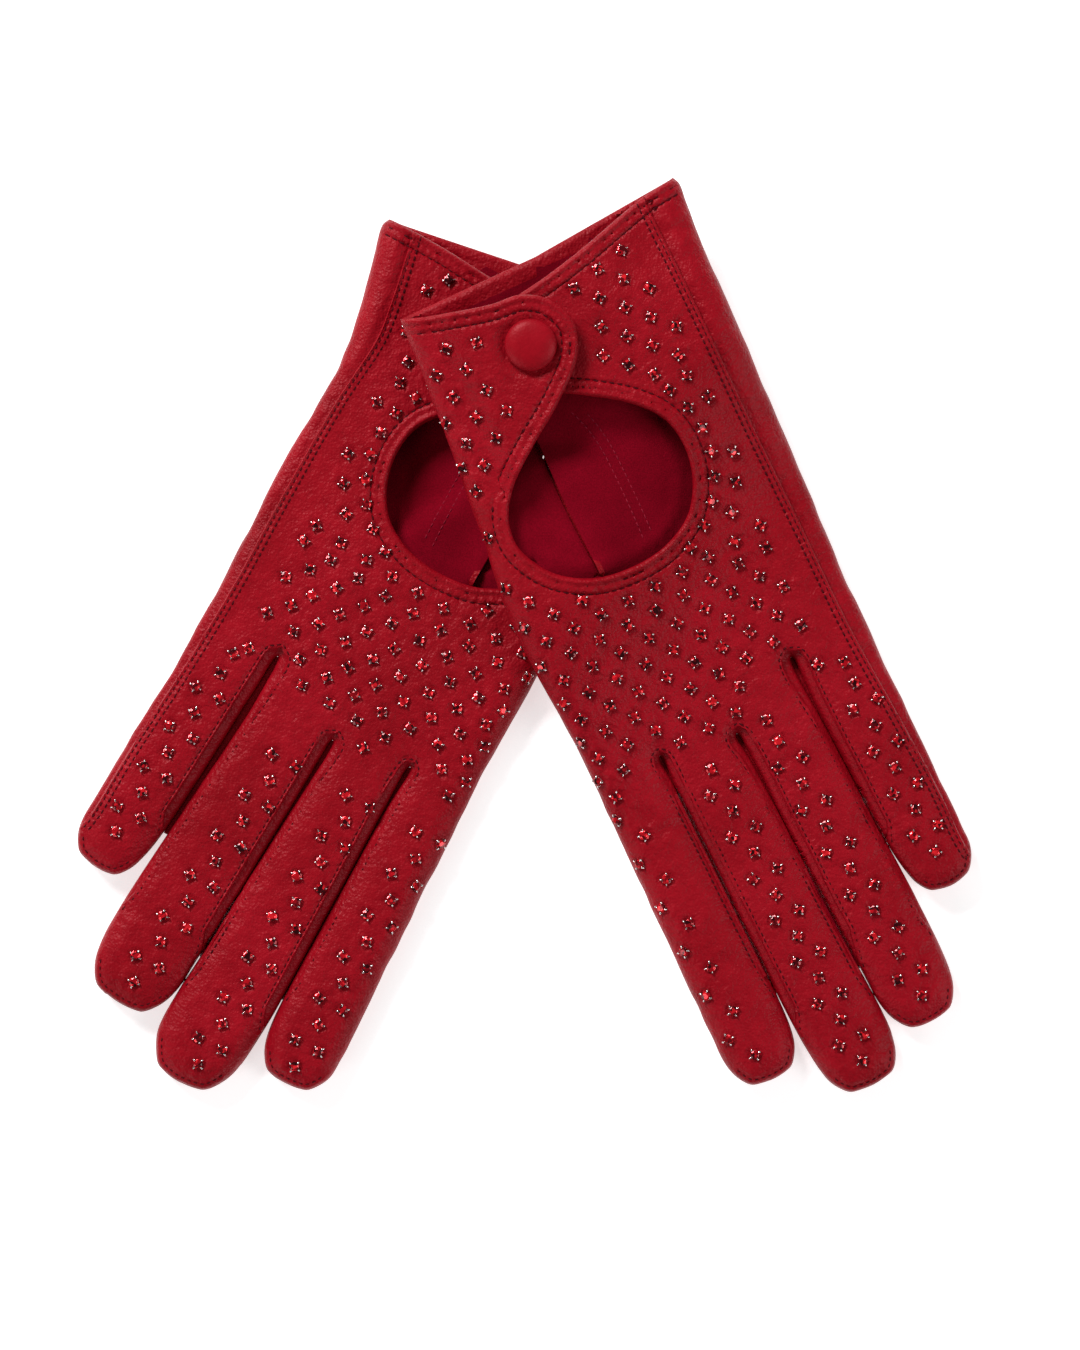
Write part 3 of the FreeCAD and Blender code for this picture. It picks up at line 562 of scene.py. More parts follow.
    def palm_height(self, places):
        reach = self.edge.distance(places)
        low = self.over_thumb(places)
        height = MIDDLE - (MIDDLE - low) * rounded(reach, ROUNDING)
        cuff = self.palm_cuff.distance(places)
        height += 0.5 * np.exp(-(cuff / 0.5) ** 2)
        distance, _ = self.slit.nearest(places)
        right = places[:, 0] > np.interp(places[:, 1], self.slit.points[:, 1], self.slit.points[:, 0])
        near = smoothstep((places[:, 1] - self.slit.points[0, 1] + 6) / 8)
        near = near * smoothstep((self.slit.points[-1, 1] + 6 - places[:, 1]) / 8)
        height += np.where(right, SLIT_STEP, -0.1) * np.exp(-(distance / 5.0) ** 2) * near
        return height

    def thickness(self, places):
        """Doubled at the turned hems, and drawn in to nothing at their very edge."""
        hem = np.minimum(self.hem.distance(places), self.strip_hem.distance(places))
        hem = np.minimum(hem, self.palm_cuff.distance(places))
        doubled, edge = hem_depth(hem)
        return (LEATHER + 0.65 * doubled) * edge


def tidy_line(line, rim):
    """A seam line without the places where it folds over itself beside a tight crotch."""
    near = Path(rim)
    wide = np.linalg.norm(line - rim, axis=1)
    good = near.distance(line) > wide * 0.9 - 0.02
    good[0] = good[-1] = True
    kept = line[good]
    steps = np.concatenate([[1.0], np.linalg.norm(np.diff(kept, axis=0), axis=1)])
    kept = kept[(steps > 0.12) | (np.arange(len(kept)) == len(kept) - 1)]
    return np.vstack([rim[:1], kept[1:-1], rim[-1:]])


# ---------------------------------------------------------------- crystal sites, as in the CAD

TAB_LATTICE = ((-69.2, 14.7), (-4.9, 5.0), (2.35, 6.65))
STRIP_LATTICE = ((-74.1, 19.7), (-4.9, 5.0), (2.35, 6.65))
STRIP_BAND = ((-80, -70.5), (14, 64))
STRIP_EDGE = (-77.5, 43, 0.06)
STRAP_LATTICE = ((-20.2, 10.3), (-7.3, 1.9), (-2.5, 6.6))
STRAP_BAND = (-36, 42)
STRAP_SEAM = (-19, 10, 0.15)
STRAP_LEAN_TO = 41
SNAP_CLEARANCE = 10.5
TAB_EDGE_CLEARANCE = 1.55
RIM_CLEARANCE = 6.0
# Arcs beside the opening: clearance from its rim, first angle, step between places, places used.
RIM_ARCS = [(6.0, -29.0, 12.6, range(8)), (11.4, -27.0, 12.8, (0, 1, 3, 4, 5))]
# Rows across the knuckles: even rows, then rows set half a pitch over.
ROWS = range(-3, 9)
ROW_START = 90.4
ROW_CURVE = 0.0011
FIRST_ROW = (7.5, 9)
ROW_FIRST_U = (-76.3, -79.8)
ROW_COLUMNS = (8, 9)
BACK_BAND = (-80, -14)
KNUCKLES = ((118, -30, -18), (124, -38, -18))
LAST_ROW = (130, -70)
CROTCHES = [(-22.4, 119.2), (-42.6, 131.0), (-62.3, 128.3)]
CROTCH_CLEARANCE = (3.2, 5.0)
PAIR_SPREAD = 3.3
ZIGZAG = 2.0


def lattice(origin, step_a, step_b, count):
    span = range(-count, count + 1)
    return [(origin[0] + a * step_a[0] + b * step_b[0], origin[1] + a * step_a[1] + b * step_b[1])
            for a in span for b in span]


def from_opening(u, v):
    wide = (u - OPENING[0]) / (OPENING_HALF[0] + RIM_CLEARANCE)
    long = (v - OPENING[1]) / (OPENING_HALF[1] + RIM_CLEARANCE)
    return math.hypot(wide, long)


def tab_sites(glove):
    found = []
    for u, v in lattice(*TAB_LATTICE, 5):
        clear_of_snap = math.hypot(u - SNAP[0], v - SNAP[1]) > SNAP_CLEARANCE
        between = 13 + 0.1 * (u + 62) < v < 43 - 0.75 * (u + 65)
        on_tab = TAB_ROOT_U + TAB_EDGE_CLEARANCE < u < SNAP[0] and v < 48
        if on_tab and clear_of_snap and between:
            found.append((u, v))
    return [tuple(p) for p in shifted(glove, found)]


def strap_sites(glove):
    """Crystals between the cuff, the side seam and the opening."""
    found = []
    low_u, high_v = STRAP_BAND
    seam_u, seam_v, lean = STRAP_SEAM
    for u, v in lattice(*STRAP_LATTICE, 9):
        inside_seam = u < seam_u + lean * (v - seam_v)
        if u > low_u and inside_seam and glove["strap_low"] < v < high_v and from_opening(u, v) > 1:
            found.append((u + glove["strap_lean"] * max(0.0, STRAP_LEAN_TO - v), v))
    for clearance, first, step, places in RIM_ARCS:
        for place in places:
            angle = math.radians(first + step * place)
            found.append((OPENING[0] + (OPENING_HALF[0] + clearance) * math.cos(angle),
                          OPENING[1] + (OPENING_HALF[1] + clearance) * math.sin(angle)))
    return found


def on_knuckles(u, v):
    """Whether a place among the rows is left free for the fingers to part."""
    for start_v, low_u, high_u in KNUCKLES:
        if v > start_v and low_u < u < high_u:
            return False
    for crotch_u, crotch_v in CROTCHES:
        if abs(u - crotch_u) < CROTCH_CLEARANCE[0] and v > crotch_v - CROTCH_CLEARANCE[1]:
            return False
    return v < LAST_ROW[0] or u < LAST_ROW[1]


def row_sites(glove):
    """Crystals in rows across the back, as far as the roots of the fingers."""
    found = []
    row_pitch, column_pitch = glove["rows"]
    for row in ROWS:
        pitch, columns = FIRST_ROW if row == 0 else (column_pitch, ROW_COLUMNS[row % 2])
        for column in range(columns):
            u = ROW_FIRST_U[row % 2] + pitch * column
            if row > 1:
                u = max(u, STRIP_EDGE[0] - 1.0)
            v = ROW_START + row_pitch * row - ROW_CURVE * (u + 80) ** 2
            on_back = BACK_BAND[0] < u < BACK_BAND[1] and from_opening(u, v) > 1
            beside_opening = row < 0 and u > OPENING[0]
            if on_back and not beside_opening and on_knuckles(u, v):
                found.append((u, v))
    return found


def strip_sites():
    """Crystals between the opening and the index side, beside the tab's root."""
    found = []
    (low_u, high_u), (low_v, high_v) = STRIP_BAND
    edge_u, edge_v, lean = STRIP_EDGE
    nearest_root = TAB_ROOT_U - 1.6
    for u, v in lattice(*STRIP_LATTICE, 8):
        edge = edge_u - lean * (v - edge_v)
        at_edge = u < edge
        wanted = v > 40 if at_edge else v < 52
        if low_u < u < high_u and low_v < v < high_v and wanted:
            found.append((min(max(u, edge), nearest_root), v))
    return found


def finger_sites(glove):
    """Crystals along the fingers: one, then two abreast, to the tip; or a zigzag."""
    found = []
    for first, last, steps, before in glove["crystal_lines"]:
        for step in range(-1 if before else 0, steps + 1):
            abreast = before if step < 0 else 1 + step % 2
            u = first[0] + (last[0] - first[0]) * step / steps
            v = first[1] + (last[1] - first[1]) * step / steps
            found += [(u, v)] if abreast == 1 else [(u - PAIR_SPREAD, v), (u + PAIR_SPREAD, v)]
    if glove["zigzag"]:
        first, last, steps = glove["zigzag"]
        for step in range(steps + 1):
            u = first[0] + (last[0] - first[0]) * step / steps
            v = first[1] + (last[1] - first[1]) * step / steps
            found.append((u + (ZIGZAG if step % 2 else -ZIGZAG), v))
    return found


def hand_sites(glove):
    shared = strap_sites(glove) + row_sites(glove) + strip_sites()
    return [tuple(p) for p in shifted(glove, shared)] + finger_sites(glove)


# ---------------------------------------------------------------- from pattern to world


def rotation(heading, pitch):
    turn, tip = math.radians(heading), math.radians(-pitch)
    about_z = np.array([[math.cos(turn), -math.sin(turn), 0],
                        [math.sin(turn), math.cos(turn), 0], [0, 0, 1]])
    about_x = np.array([[1, 0, 0], [0, math.cos(tip), -math.sin(tip)],
                        [0, math.sin(tip), math.cos(tip)]])
    return about_z, about_x


def place(glove, points):
    """Pattern places (u, v, z) in millimetres to the row frame in metres."""
    points = np.asarray(points, float)
    about_z, about_x = rotation(glove["heading"], glove["pitch"])
    local = points * np.array([glove["mirror"], 1, 1])
    pivot = np.array([0, glove["reach"], 0])
    world = (local - pivot) @ about_x.T + pivot
    world = world @ about_z.T + np.array([*glove["corner"], 0])
    world[:, 2] -= sag(glove, points)
    return world / 1000


def sag(glove, points):
    """How far the upper glove hangs below its rigid place, past the edges of the lower one.

    past_fingers and past_cuff are distances beyond the two lines where the lower glove ends.
    """
    if glove["pitch"] == 0:
        return np.zeros(len(points))
    u, v = points[:, 0], points[:, 1]
    lifted = np.clip(glove["reach"] - v, 0, None) * math.sin(math.radians(glove["pitch"]))
    past_fingers = (u + 21) * 0.655 + (v - 42) * 0.756
    past_cuff = (u + 70.6) * 0.727 - (v + 21) * 0.686
    return 0.78 * lifted * smoothstep(past_fingers / 45) + 5.0 * smoothstep(past_cuff / 40)


# ---------------------------------------------------------------- meshes

# Extra rows of mesh places, by distance: beside hems, outline, seams and slit, round crystals.
HEM_RINGS = (0.12, 0.35, 0.7, 1.15, 1.6, 1.95, 2.4, 2.95, 3.5, 3.95, 4.5, 5.1)
EDGE_RINGS = (0.07, 0.25, 0.6, 1.1, 1.8, 2.7)
SEAM_RINGS = (0.3, 0.85, 1.4, 2.0)
SLIT_RINGS = (0.5, 1.1, 1.9)
PALM_CUFF_RINGS = (0.3, 0.8, 1.5, 2.5)
THUMB_RINGS = (0.1, 0.35, 0.8, 1.4, 2.2)
SNAP_RINGS = (6.0, 6.6, 7.2, 7.9, 8.7, 9.5)
SITE_RINGS = ((0.7, 6), (1.5, 12), (2.3, 16), (3.0, 18))   # radius and count of places


def make_object(name, vertices, faces, materials, indices=None, sharp=55):
    """A mesh in the row frame, in metres."""
    mesh = bpy.data.meshes.new(name)
    mesh.from_pydata([tuple(v) for v in vertices], [], [tuple(int(i) for i in f) for f in faces])
    for material in materials:
        mesh.materials.append(material)
    if indices is not None:
        mesh.polygons.foreach_set("material_index", np.asarray(indices, np.int32))
    mesh.update()
    mesh.shade_smooth()
    mesh.set_sharp_from_angle(angle=math.radians(sharp))
    piece = bpy.data.objects.new(name, mesh)
    bpy.context.scene.collection.objects.link(piece)
    return piece


def hex_grid(loop, step):
    low, high = loop.min(0), loop.max(0)
    rows = np.arange(low[1], high[1], step * 0.866)
    columns = np.arange(low[0], high[0], step)
    u, v = np.meshgrid(columns, rows)
    u = u + (np.arange(len(rows)) % 2)[:, None] * step / 2
    return np.stack([u.ravel(), v.ravel()], 1)


def thin_out(points, gap):
    """Drop places closer than gap to an earlier one."""
    tree = KDTree(len(points))
    for index, (u, v) in enumerate(points):
        tree.insert((u, v, 0), index)
    tree.balance()
    keep = np.ones(len(points), bool)
    for index, (u, v) in enumerate(points):
        if keep[index]:
            for _, other, _ in tree.find_range((u, v, 0), gap):
                if other > index:
                    keep[other] = False
    return points[keep]


def triangulate(loop, lines, rows, step, hole=None):
    """Fill an outline with triangles that follow the given lines and rows of places."""
    near = Path(np.vstack([loop, loop[:1]]))
    extra = np.vstack(rows) if rows else np.zeros((0, 2))
    candidates = np.vstack([extra, hex_grid(loop, step)])
    candidates = candidates[inside(candidates, loop)]
    fixed = [loop] + lines + ([hole] if hole is not None else [])
    fixed_all = Path(np.vstack(fixed))
    close = np.array([fixed_all.tree.find((u, v, 0))[2] for u, v in candidates])
    limit = 0.06 if len(extra) else 0.3 * step
    candidates = candidates[(close > limit) & (near.distance(candidates) > 0.05)]
    if hole is not None:
        candidates = candidates[~inside(candidates, hole)]
    if len(extra):
        candidates = thin_out(candidates, 0.42 * step)
    points, edges = [], []
    for index, line in enumerate(fixed):
        start = len(points)
        points += [Vector(p) for p in line]
        count = len(line)
        closed = index == 0 or line is hole
        edges += [(start + i, start + (i + 1) % count) for i in range(count if closed else count - 1)]
    points += [Vector(p) for p in candidates]
    verts, _, faces, _, _, _ = delaunay_2d_cdt(points, edges, [], 0, 1e-4, False)
    verts = np.array([tuple(v) for v in verts])
    faces = np.array([f for f in faces if len(f) == 3])
    centres = verts[faces].mean(1)
    keep = inside(centres, loop)
    if hole is not None:
        keep &= ~inside(centres, hole)
    return verts, faces[keep]


def facing(flat, faces, upward=True):
    """Triangles of a flat sheet, all turned to face up, or all down."""
    corners = flat[faces]
    area = np.cross(corners[:, 1] - corners[:, 0], corners[:, 2] - corners[:, 0])
    return np.where(((area > 0) != upward)[:, None], faces[:, ::-1], faces)


def vertex_normals(vertices, faces):
    corners = vertices[faces]
    normals = np.cross(corners[:, 1] - corners[:, 0], corners[:, 2] - corners[:, 0])
    result = np.zeros_like(vertices)
    for corner in range(3):
        np.add.at(result, faces[:, corner], normals)
    size = np.linalg.norm(result, axis=1, keepdims=True)
    return result / np.maximum(size, 1e-12)


def shell(outer, faces, depth):
    """Close a sheet of triangles into leather: outer face, inner face and edge.

    Gives vertices, faces and, for each face, 0 outside, 1 inside or 2 at the edge.
    """
    normals = vertex_normals(outer, faces)
    inner = outer - normals * np.asarray(depth).reshape(-1, 1)
    count = len(outer)
    edges = np.vstack([faces[:, [0, 1]], faces[:, [1, 2]], faces[:, [2, 0]]])
    keys = np.sort(edges, axis=1)
    _, first, repeats = np.unique(keys[:, 0] * (count + 1) + keys[:, 1], return_index=True,
                                  return_counts=True)
    rim = edges[first[repeats == 1]]
    all_faces = [tuple(f) for f in faces] + [tuple(f[::-1] + count) for f in faces]
    all_faces += [(b, a, a + count, b + count) for a, b in rim]
    kinds = [0] * len(faces) + [1] * len(faces) + [2] * len(rim)
    return np.vstack([outer, inner]), all_faces, kinds


def used_only(vertices, faces):
    used, inverse = np.unique(faces, return_inverse=True)
    return vertices[used], inverse.reshape(faces.shape), used


def site_rings(sites):
    """Places in rings round each setting, to hold its dimple and puckers."""
    rings = []
    for site in sites:
        for radius, count in SITE_RINGS:
            turns = np.arange(count) * 2 * math.pi / count + radius
            rings.append(site + radius * np.stack([np.cos(turns), np.sin(turns)], 1))
    return rings


def both_sides(path, rows):
    """Rows of places on both sides of a line; the outline keeps the ones that count."""
    return [path.offset(side * row) for row in rows for side in (-1, 1)]


# ---------------------------------------------------------------- thread, settings and stones


def join_parts(parts):
    """Many small meshes as one: vertices and faces."""
    vertices, faces, count = [], [], 0
    for part_vertices, part_faces in parts:
        vertices.append(part_vertices)
        faces += [tuple(i + count for i in face) for face in part_faces]
        count += len(part_vertices)
    return np.vstack(vertices), faces


def tube_faces(rings, sides):
    """Faces of a closed tube whose rings of vertices follow each other."""
    faces = []
    for ring in range(rings - 1):
        for turn in range(sides):
            a, b = ring * sides + turn, ring * sides + (turn + 1) % sides
            faces.append((a, b, b + sides, a + sides))
    last = (rings - 1) * sides
    return faces + [tuple(range(sides))[::-1], tuple(range(last, last + sides))]


def stitch_shape(start, end, radius, sink):
    """One stitch: a short thread that dives into the leather at both ends."""
    along = end - start
    length = np.linalg.norm(along)
    along = along / max(length, 1e-9)
    side = np.cross(along, [0, 0, 1.0])
    side = side / max(np.linalg.norm(side), 1e-9)
    up = np.cross(side, along)
    stations = ((0.0, 0.35, -1.0), (0.12, 0.8, -0.25), (0.5, 1.0, 0.12), (0.88, 0.8, -0.25),
                (1.0, 0.35, -1.0))
    sides = 6
    vertices = []
    for share, size, height in stations:
        centre = start + along * length * share + up * height * sink
        for turn in range(sides):
            angle = 2 * math.pi * turn / sides
            vertices.append(centre + radius * size * (math.cos(angle) * side + math.sin(angle) * up))
    return np.array(vertices), tube_faces(len(stations), sides)


def stitches(glove, lines, height, pitch, length, radius, keep=None):
    """Rows of stitches on a surface, already in the row frame."""
    parts = []
    for line in lines:
        path = Path(line)
        starts = np.arange(pitch / 2, path.length - length, pitch)
        if not len(starts):
            continue
        first, last = path.at(starts), path.at(starts + length)
        if keep is not None:
            good = keep(first) & keep(last)
            first, last = first[good], last[good]
        if not len(first):
            continue
        raised = radius * 0.55
        low = np.column_stack([first, height(first) + raised])
        high = np.column_stack([last, height(last) + raised])
        start, end = place(glove, low), place(glove, high)
        parts += [stitch_shape(a, b, radius / 1000, radius / 1000) for a, b in zip(start, end)]
    return parts


def claw(turn):
    """One prong, bent over the edge of the stone."""
    path = ((1.26, 0.0, 0.18), (1.62, 0.50, 0.21), (1.62, 0.92, 0.21), (1.38, 1.12, 0.18),
            (1.08, 1.10, 0.12))
    half_thickness = 0.13
    sides = 6
    out = np.array([math.cos(turn), math.sin(turn), 0])
    side = np.array([-math.sin(turn), math.cos(turn), 0])
    up = np.array([0, 0, 1.0])
    vertices = []
    for index, (reach, height, half) in enumerate(path):
        ahead = path[min(index + 1, len(path) - 1)]
        behind = path[max(index - 1, 0)]
        direction = np.array([ahead[0] - behind[0], ahead[1] - behind[1]])
        direction = direction / np.linalg.norm(direction)
        normal = out * direction[1] - up * direction[0]
        centre = out * reach + up * height
        for corner in range(sides):
            angle = 2 * math.pi * corner / sides
            vertices.append(centre + side * half * math.cos(angle)
                            + normal * half_thickness * math.sin(angle))
    return np.array(vertices), tube_faces(len(path), sides)


def revolved(profile, sides):
    """Closed surface of a profile of (radius, height) turned about the z axis."""
    vertices = []
    for radius, height in profile:
        for turn in range(sides):
            angle = 2 * math.pi * turn / sides
            vertices.append((radius * math.cos(angle), radius * math.sin(angle), height))
    return np.array(vertices, float), tube_faces(len(profile), sides)


def setting_shape():
    cup = revolved([(0.80, -0.35), (1.04, -0.2), (1.12, 0.40), (1.04, 0.60), (0.92, 0.58),
                    (0.80, 0.3), (0.4, 0.1)], 16)
    return join_parts([cup] + [claw(math.pi / 2 * turn) for turn in range(4)])


def stone_shape():
    """Brilliant cut: a flat table, star and kite facets, a girdle and a pointed back."""
    rings = [(0.70, 1.18, 0.0), (1.08, 1.00, 0.5), (1.30, 0.78, 0.0), (1.30, 0.70, 0.0),
             (0.30, 0.10, 0.5)]
    sides = 8
    vertices, faces = [], []
    for radius, height, twist in rings:
        for turn in range(sides):
            angle = 2 * math.pi * (turn + twist) / sides
            vertices.append((radius * math.cos(angle), radius * math.sin(angle), height))
    faces.append(tuple(range(sides)))
    for ring in range(len(rings) - 1):
        twisted = rings[ring + 1][2] - rings[ring][2]
        for turn in range(sides):
            a, b = ring * sides + turn, ring * sides + (turn + 1) % sides
            if twisted == 0:
                faces.append((b, a, a + sides, b + sides))
                continue
            shift = 0 if twisted > 0 else 1
            c = (ring + 1) * sides + (turn + shift) % sides
            before = (ring + 1) * sides + (turn - 1 + shift) % sides
            faces.append((b, a, c) if twisted > 0 else (b, a, before))
            if twisted > 0:
                faces.append((a, before, c))
            else:
                faces.append((b, before, c))
    last = (len(rings) - 1) * sides
    faces.append(tuple(range(last + sides - 1, last - 1, -1)))
    return np.array(vertices, float), faces


def at_sites(glove, sites, height, shape, random):
    """Copies of a small shape on the surface, each turned at random."""
    sites = np.asarray(sites, float)
    reach = 1.6
    ahead_u = height(sites + [reach, 0]) - height(sites - [reach, 0])
    ahead_v = height(sites + [0, reach]) - height(sites - [0, reach])
    level = height(sites)
    parts = []
    vertices, faces = shape
    for index, site in enumerate(sites):
        normal = np.array([-ahead_u[index] / (2 * reach), -ahead_v[index] / (2 * reach), 1.0])
        normal[:2] += np.radians(random.uniform(-SETTING_TILT, SETTING_TILT, 2))
        normal /= np.linalg.norm(normal)
        turn = random.uniform(0, 2 * math.pi)
        first = np.cross([math.sin(turn), math.cos(turn), 0], normal)
        first /= np.linalg.norm(first)
        second = np.cross(normal, first)
        centre = np.array([site[0], site[1], level[index]])
        moved = centre + vertices @ np.array([first, second, normal])
        flipped = faces if glove["mirror"] > 0 else [face[::-1] for face in faces]
        parts.append((place(glove, moved), flipped))
    return join_parts(parts)


# ---------------------------------------------------------------- materials


def new_material(name):
    material = bpy.data.materials.new(name)
    material.use_nodes = True
    nodes = material.node_tree.nodes
    return material, nodes, material.node_tree.links, nodes["Principled BSDF"]


def texture(nodes, links, coordinates, kind, scale, **settings):
    node = nodes.new(kind)
    node.inputs["Scale"].default_value = scale
    links.new(coordinates, node.inputs["Vector"])
    for key, value in settings.items():
        if hasattr(node, key):
            setattr(node, key, value)
        else:
            node.inputs[key.replace("_", " ").title()].default_value = value
    return node


def ramp(nodes, links, source, stops):
    node = nodes.new("ShaderNodeValToRGB")
    links.new(source, node.inputs["Fac"])
    elements = node.color_ramp.elements
    while len(elements) < len(stops):
        elements.new(0.5)
    for element, (position, colour) in zip(elements, stops):
        element.position = position
        element.color = (*colour, 1)
    return node.outputs["Color"]


def multiply(nodes, links, factor, first, second):
    """One colour multiplied by another, as strongly as factor says."""
    node = nodes.new("ShaderNodeMix")
    node.data_type = "RGBA"
    node.blend_type = "MULTIPLY"
    node.inputs["Factor"].default_value = factor
    links.new(first, node.inputs[6])
    links.new(second, node.inputs[7])
    return node.outputs[2]


def rough_range(nodes, links, source, shader, low, high):
    """Roughness between low and high, as the source goes from 0 to 1."""
    node = nodes.new("ShaderNodeMapRange")
    node.inputs["To Min"].default_value = low
    node.inputs["To Max"].default_value = high
    links.new(source, node.inputs["Value"])
    links.new(node.outputs["Result"], shader.inputs["Roughness"])


def grey(level):
    return (level, level, level)


def bumps(nodes, links, layers):
    """A chain of bump nodes: (height socket, strength, distance in metres)."""
    normal = None
    for height, strength, distance in layers:
        node = nodes.new("ShaderNodeBump")
        node.inputs["Strength"].default_value = strength
        node.inputs["Distance"].default_value = distance
        links.new(height, node.inputs["Height"])
        if normal is not None:
            links.new(normal, node.inputs["Normal"])
        normal = node.outputs["Normal"]
    return normal


def leather_material(name, deep, main, light, grain):
    """Dyed nappa: uneven colour, painted shade in the grain's creases, soft creases and pores; grain is
    how strong its relief is.
    """
    material, nodes, links, shader = new_material(name)
    where = nodes.new("ShaderNodeTexCoord").outputs["Object"]
    broad = texture(nodes, links, where, "ShaderNodeTexNoise", 38, detail=3)
    middle = texture(nodes, links, where, "ShaderNodeTexNoise", 260, detail=4)
    cells = texture(nodes, links, where, "ShaderNodeTexVoronoi", 1500)
    creases = texture(nodes, links, where, "ShaderNodeTexVoronoi", 420,
                      feature="DISTANCE_TO_EDGE")
    pores = texture(nodes, links, where, "ShaderNodeTexNoise", 3400, detail=2)
    colour = ramp(nodes, links, broad.outputs["Fac"], [(0.3, deep), (0.5, main), (0.72, light)])
    fleck = ramp(nodes, links, middle.outputs["Fac"], [(0.35, grey(0.92)), (0.65, grey(1.05))])
    colour = multiply(nodes, links, 1.0, colour, fleck)
    # painted shade: the base colour is darkened along the grain's crease lines
    painted_crease_shade = ramp(nodes, links, creases.outputs["Distance"], [(0.0, (0.72, 0.7, 0.7)), (0.16, grey(1))])
    colour = multiply(nodes, links, 0.22, colour, painted_crease_shade)
    links.new(colour, shader.inputs["Base Color"])
    rough_range(nodes, links, middle.outputs["Fac"], shader, 0.34, 0.52)
    shader.inputs["Specular IOR Level"].default_value = 0.26
    shader.inputs["Specular Tint"].default_value = (1.0, 0.42, 0.44, 1)
    normal = bumps(nodes, links, [(creases.outputs["Distance"], 0.42 * grain, 0.0005),
                                  (middle.outputs["Fac"], 0.42 * grain, 0.0006),
                                  (cells.outputs["Distance"], 0.5 * grain, 0.00025),
                                  (pores.outputs["Fac"], 0.3 * grain, 0.00015)])
    links.new(normal, shader.inputs["Normal"])
    return material


def suede_material():
    """Flesh side of the hide: matt, with a short nap that catches light at the edges."""
    material, nodes, links, shader = new_material("suede")
    where = nodes.new("ShaderNodeTexCoord").outputs["Object"]
    patch = texture(nodes, links, where, "ShaderNodeTexNoise", 60, detail=4)
    nap = texture(nodes, links, where, "ShaderNodeTexNoise", 2600, detail=3)
    colour = ramp(nodes, links, patch.outputs["Fac"],
                  [(0.3, (0.15, 0.0006, 0.0065)), (0.5, (0.19, 0.0010, 0.0085)),
                   (0.7, (0.23, 0.0016, 0.0110))])
    speck = ramp(nodes, links, nap.outputs["Fac"], [(0.3, grey(0.75)), (0.7, grey(1.15))])
    links.new(multiply(nodes, links, 1.0, colour, speck), shader.inputs["Base Color"])
    shader.inputs["Roughness"].default_value = 0.95
    shader.inputs["Specular IOR Level"].default_value = 0.04
    shader.inputs["Sheen Weight"].default_value = 0.12
    shader.inputs["Sheen Roughness"].default_value = 0.6
    shader.inputs["Sheen Tint"].default_value = (0.9, 0.02, 0.08, 1)
    normal = bumps(nodes, links, [(patch.outputs["Fac"], 0.3, 0.001),
                                  (nap.outputs["Fac"], 0.6, 0.0002)])
    links.new(normal, shader.inputs["Normal"])
    return material


def thread_material(name, dark, light):
    material, nodes, links, shader = new_material(name)
    where = nodes.new("ShaderNodeTexCoord").outputs["Object"]
    ply = texture(nodes, links, where, "ShaderNodeTexNoise", 3000, detail=2)
    links.new(ramp(nodes, links, ply.outputs["Fac"], [(0.35, dark), (0.65, light)]),
              shader.inputs["Base Color"])
    shader.inputs["Roughness"].default_value = 0.75
    shader.inputs["Specular IOR Level"].default_value = 0.12
    links.new(bumps(nodes, links, [(ply.outputs["Fac"], 0.6, 0.0002)]), shader.inputs["Normal"])
    return material


def metal_material(name, dark, light, roughness):
    material, nodes, links, shader = new_material(name)
    where = nodes.new("ShaderNodeTexCoord").outputs["Object"]
    stain = texture(nodes, links, where, "ShaderNodeTexNoise", 900, detail=3)
    links.new(ramp(nodes, links, stain.outputs["Fac"], [(0.3, dark), (0.6, light)]),
              shader.inputs["Base Color"])
    shader.inputs["Metallic"].default_value = 1.0
    rough_range(nodes, links, stain.outputs["Fac"], shader, roughness * 0.7, roughness * 1.5)
    links.new(bumps(nodes, links, [(stain.outputs["Fac"], 0.15, 0.0001)]), shader.inputs["Normal"])
    return material


def crystal_material():
    """Foil-backed red glass with painted glints: small random cells of its colour run from near black to
    bright red, painted shade and painted highlight standing for facets that miss or catch the light.
    """
    material, nodes, links, shader = new_material("crystal")
    where = nodes.new("ShaderNodeTexCoord").outputs["Object"]
    flash = texture(nodes, links, where, "ShaderNodeTexVoronoi", 1250)
    # painted glints and shade: random cells painted near black, mid red or bright red
    painted_glints = ramp(nodes, links, flash.outputs["Color"],
                 [(0.25, (0.03, 0.0, 0.002)), (0.48, (0.20, 0.001, 0.006)),
                  (0.70, (0.60, 0.003, 0.012)), (0.90, (1.0, 0.02, 0.03))])
    links.new(painted_glints, shader.inputs["Base Color"])
    shader.inputs["Metallic"].default_value = 0.35
    shader.inputs["Roughness"].default_value = 0.10
    shader.inputs["IOR"].default_value = 1.56
    shader.inputs["Specular Tint"].default_value = (1.0, 0.4, 0.4, 1)
    shader.inputs["Coat Weight"].default_value = 0.25
    shader.inputs["Coat Roughness"].default_value = 0.02
    return material


MATERIALS = {
    "leather": leather_material("leather", (0.250, 0.0014, 0.0065), (0.292, 0.0020, 0.0085),
                                (0.330, 0.0030, 0.0110), 1.0),
    "cap_leather": leather_material("cap_leather", (0.270, 0.0016, 0.0070), (0.300, 0.0022, 0.0090),
                                    (0.320, 0.0030, 0.0110), 0.3),
    "suede": suede_material(),
    "thread": thread_material("thread", (0.045, 0.0005, 0.003), (0.085, 0.001, 0.005)),
    "inside_thread": thread_material("inside_thread", (0.22, 0.004, 0.018), (0.32, 0.014, 0.035)),
    "silver": metal_material("silver", (0.50, 0.46, 0.45), (0.82, 0.78, 0.77), 0.20),
    "snap_metal": metal_material("snap_metal", (0.42, 0.41, 0.39), (0.62, 0.60, 0.57), 0.24),
    "crystal": crystal_material(),
}

# ---------------------------------------------------------------- building one glove


